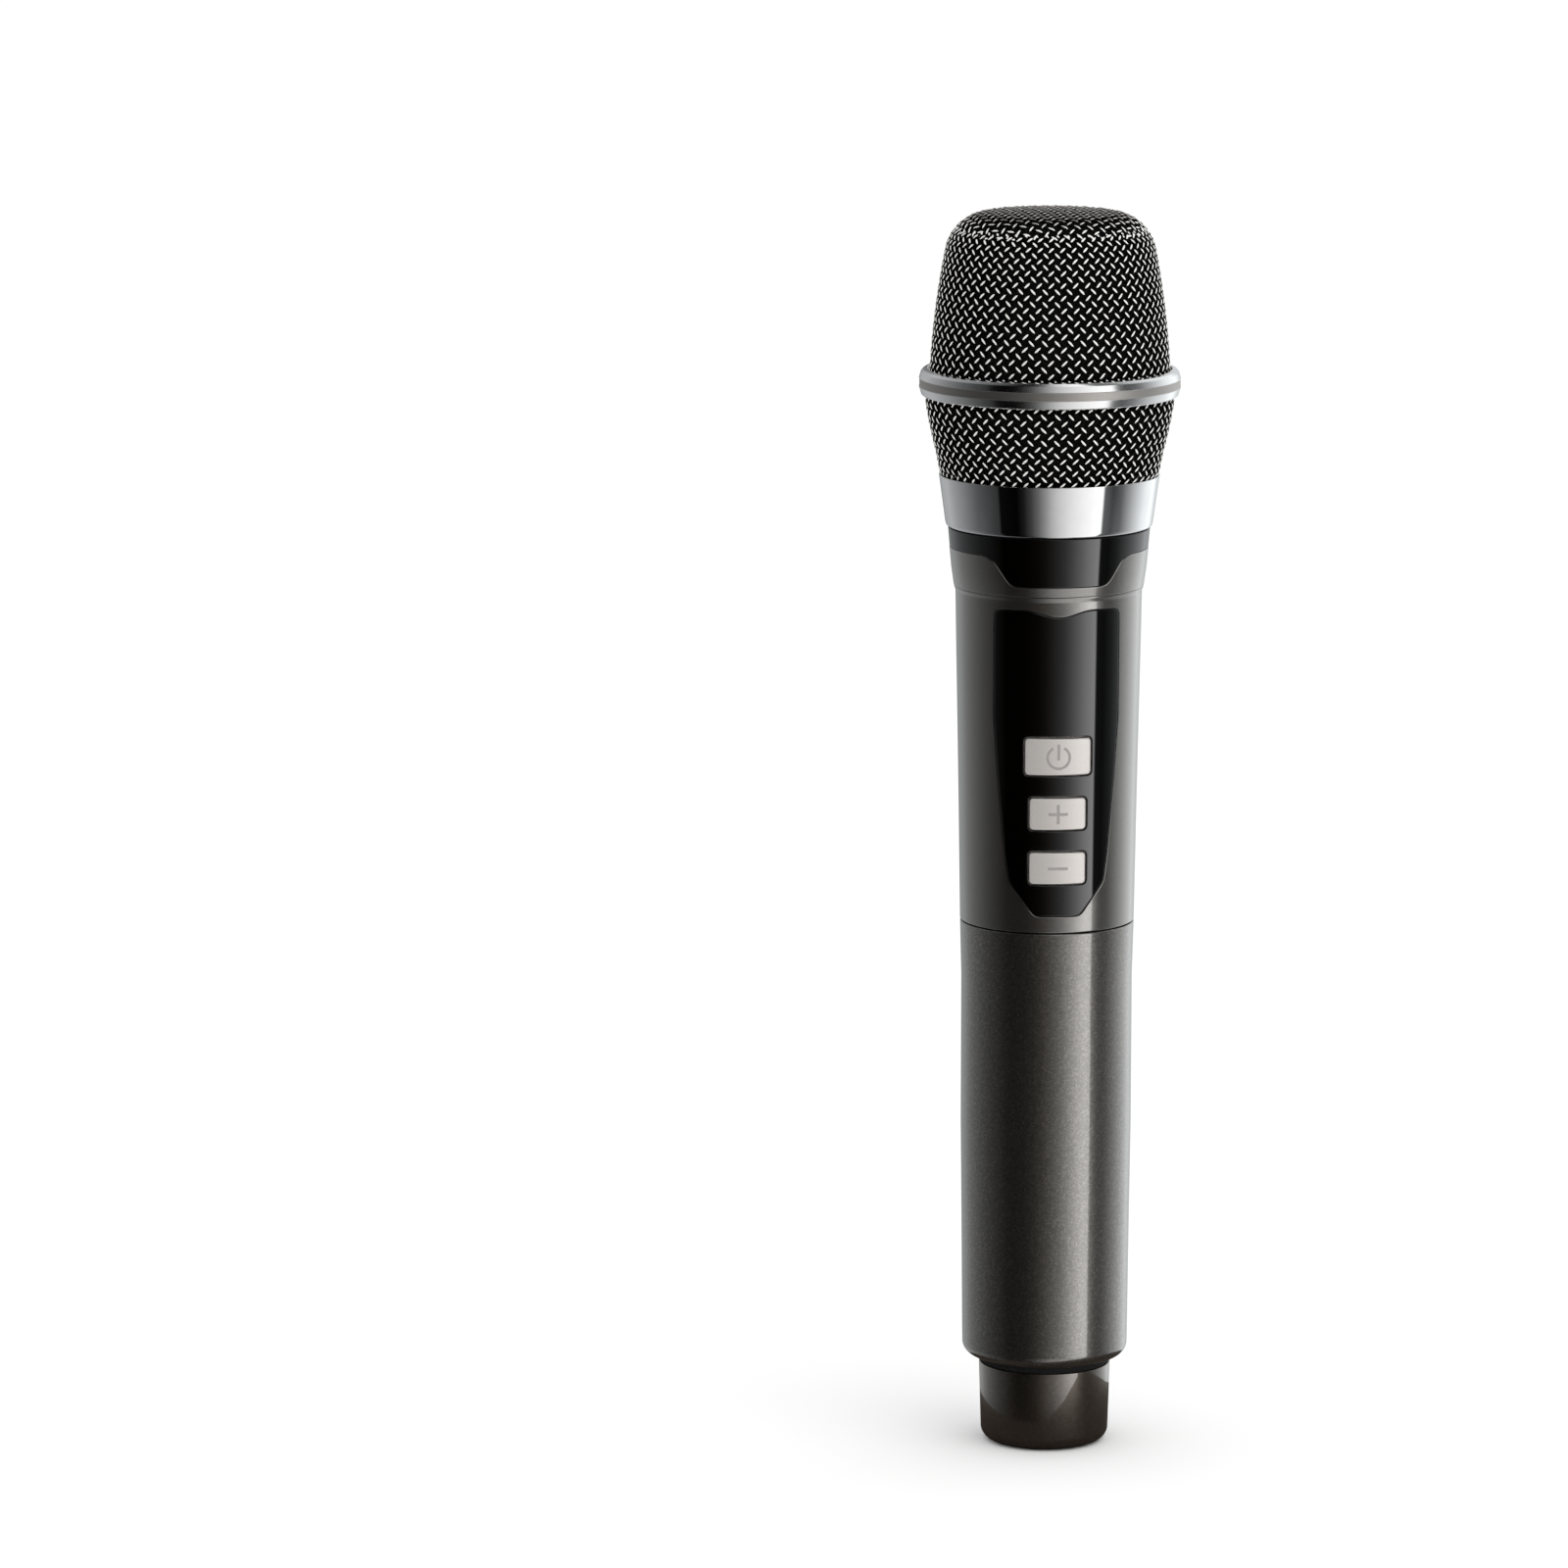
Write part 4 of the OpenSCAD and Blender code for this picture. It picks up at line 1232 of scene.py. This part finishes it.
# Brightness of the studio round the microphone: (degrees to the right of the camera, level near
# the horizon, level far above or below it). One wide softbox ends sharply on its right, and weaker
# lights stand behind.
STUDIO = [
    (-180, 0.12, 0.12), (-160, 0.42, 0.45), (-140, 0.46, 0.5), (-126, 0.35, 0.38),
    (-110, 0.25, 0.28), (-98, 0.175, 0.2), (-86, 0.105, 0.13), (-74, 0.06, 0.075),
    (-64, 0.03, 0.045), (-58, 0.015, 0.035), (-56, 0.002, 0.003), (-36, 0.001, 0.001),
    (-28, 0.004, 0.01), (-20, 0.012, 0.048), (-12, 0.025, 0.13), (-4, 0.052, 0.28),
    (4, 0.11, 0.48), (12, 0.195, 0.64), (20, 0.33, 0.76), (28, 0.6, 0.87), (38, 1.08, 1.0),
    (48, 1.72, 1.1), (61, 2.35, 1.25), (62.5, 0.06, 0.13), (74, 0.04, 0.075), (86, 0.13, 0.18),
    (98, 0.36, 0.37), (110, 0.64, 0.6), (126, 0.98, 0.85), (145, 1.2, 1.0), (160, 0.7, 0.65),
]
BRIGHTEST = max(row[1] for row in STUDIO)
# Tint of the dim lights near the horizon in front, and of the lights at the sides and behind.
WARM = (1.0, 0.74, 0.5)
COOL = (0.955, 0.985, 1.0)
WARM_BELOW = 0.15
COOL_PAST = 62
# Height of a direction's unit vector between which the two levels fade into each other.
HORIZON = (0.338, 0.358)
# What matt surfaces see: an even level, with a share of the studio mixed in.
EVEN = 1.32
STUDIO_SHARE = 0.25


def build_world():
    """White for the camera, soft and even for matt surfaces, and the studio's bands for gloss."""
    world = bpy.data.worlds.new("studio")
    bpy.context.scene.world = world
    bpy.context.scene.view_settings.view_transform = "Standard"
    world.use_nodes = True
    world.cycles.sampling_method = "NONE"
    g = Graph(world.node_tree)
    x, y, z = g.outputs("SeparateXYZ", g.outputs("TexCoord")["Generated"])
    angle = g.math("ARCTAN2", x, g.math("MULTIPLY", y, -1.0))
    share = g.math("ADD", g.math("DIVIDE", angle, 2 * math.pi), 0.5 - CAMERA_AZIMUTH / 360)
    turn = g.math("FRACT", share)

    def bands(column):
        stops = []
        for levels in STUDIO:
            degrees, level = levels[0], levels[column]
            warmth = max(0.0, 1 - level / WARM_BELOW) if column == 1 else 0.0
            tint = COOL if abs(degrees) > COOL_PAST else [1 - (1 - w) * warmth for w in WARM]
            stops.append(((degrees + 180) / 360, [level * part / BRIGHTEST for part in tint]))
        return g.ramp(turn, *stops)

    studio = g.mix(g.scale(g.math("ABSOLUTE", z), 0.0, 1.0, *HORIZON), bands(1), bands(2))
    soft = g.mix(STUDIO_SHARE, (EVEN / BRIGHTEST,) * 3, studio)
    rays = g.outputs("LightPath")
    seen = g.mix(rays["Is Glossy Ray"], soft, studio)
    seen = g.mix(rays["Is Camera Ray"], seen, (1 / BRIGHTEST,) * 3)
    back = world.node_tree.nodes["Background"]
    g.feed(back.inputs["Color"], seen)
    g.feed(back.inputs["Strength"], BRIGHTEST)


# Heights in metres, so that neither lies in the other or in the tail's foot.
FLOOR_Z = -0.0001
CARD_Z = FLOOR_Z / 2


def lay_down(name, reaches, z):
    """Flat piece of the studio at height z, in metres, from rows of (angle, reach) as CARD's."""
    points = []
    for degrees in range(-180, 180, 4):
        turn, reach = math.radians(degrees + CAMERA_AZIMUTH), look_up(reaches, degrees)
        points.append((reach * math.sin(turn), -reach * math.cos(turn), 0))
    mesh = bpy.data.meshes.new(name)
    mesh.from_pydata(points, [], [range(len(points))])
    mesh.materials.append(FINISHES[name])
    made = placed(mesh)
    made.location.z = z
    return made


def build_floor():
    f = Finish("floor", roughness=0.9, specular_ior_level=0.0)
    f.colour(f.shades(f.noise(300.0, 1.0), (0.93, 0.93, 0.926), (0.935, 0.935, 0.931)))
    lay_down("floor", [(-180, 12), (180, 12)], FLOOR_Z).visible_glossy = False


# Reach of the dark card round the tail, in metres, by angle to the right of the camera.
CARD = [
    (-180, 0.045), (-130, 0.041), (-90, 0.036), (-60, 0.033), (0, 0.032), (30, 0.046),
    (60, 0.066), (90, 0.062), (130, 0.052), (180, 0.045),
]


def build_card():
    """Dark card on the floor that only reflections see, so that the tail's foot stays dark."""
    f = Finish("card", base_color=(0.056, 0.044, 0.036), specular_ior_level=0.0)
    f.rough(f.noise(5.0), 0.95, 1.0)
    card = lay_down("card", CARD, CARD_Z)
    card.visible_camera = False
    card.visible_diffuse = False
    card.visible_shadow = False


def build_key_light():
    """Soft light from the upper right front, for the matt surfaces and a soft shadow."""
    light = bpy.data.lights.new("key", "AREA")
    light.shape = "RECTANGLE"
    light.size, light.size_y = 2.0, 1.6
    light.energy = 7.0
    key = placed(light)
    key.location = (0.9, -1.1, 1.8)
    key.rotation_euler = (Vector((0, 0, 0.12)) - key.location).to_track_quat("-Z", "Y").to_euler()
    key.visible_glossy = False
    key.visible_camera = False


def build_camera():
    distance, height, pitch, pan = 1.5809, 0.41, -9.88, 1.9185
    data = bpy.data.cameras.new("camera")
    data.lens, data.sensor_width = 183.4, 36.0
    data.clip_start, data.clip_end = 0.01, 30.0
    camera = placed(data)
    turn = math.radians(CAMERA_AZIMUTH)
    camera.location = distance * math.sin(turn), -distance * math.cos(turn), height
    camera.rotation_euler = math.radians(90 + pitch), 0, math.radians(CAMERA_AZIMUTH + pan)
    bpy.context.scene.camera = camera


make_finishes()
finish_cad_nodes()
build_upper_body()
build_neck()
build_neck_band()
build_fascia()
build_buttons()
build_tail()
build_threads()
build_springs()
build_antenna()
build_leads()
build_sleeve()
build_collar()
build_washer()
build_ring()
build_grille()
build_foam()
build_world()
build_floor()
build_card()
build_key_light()
build_camera()
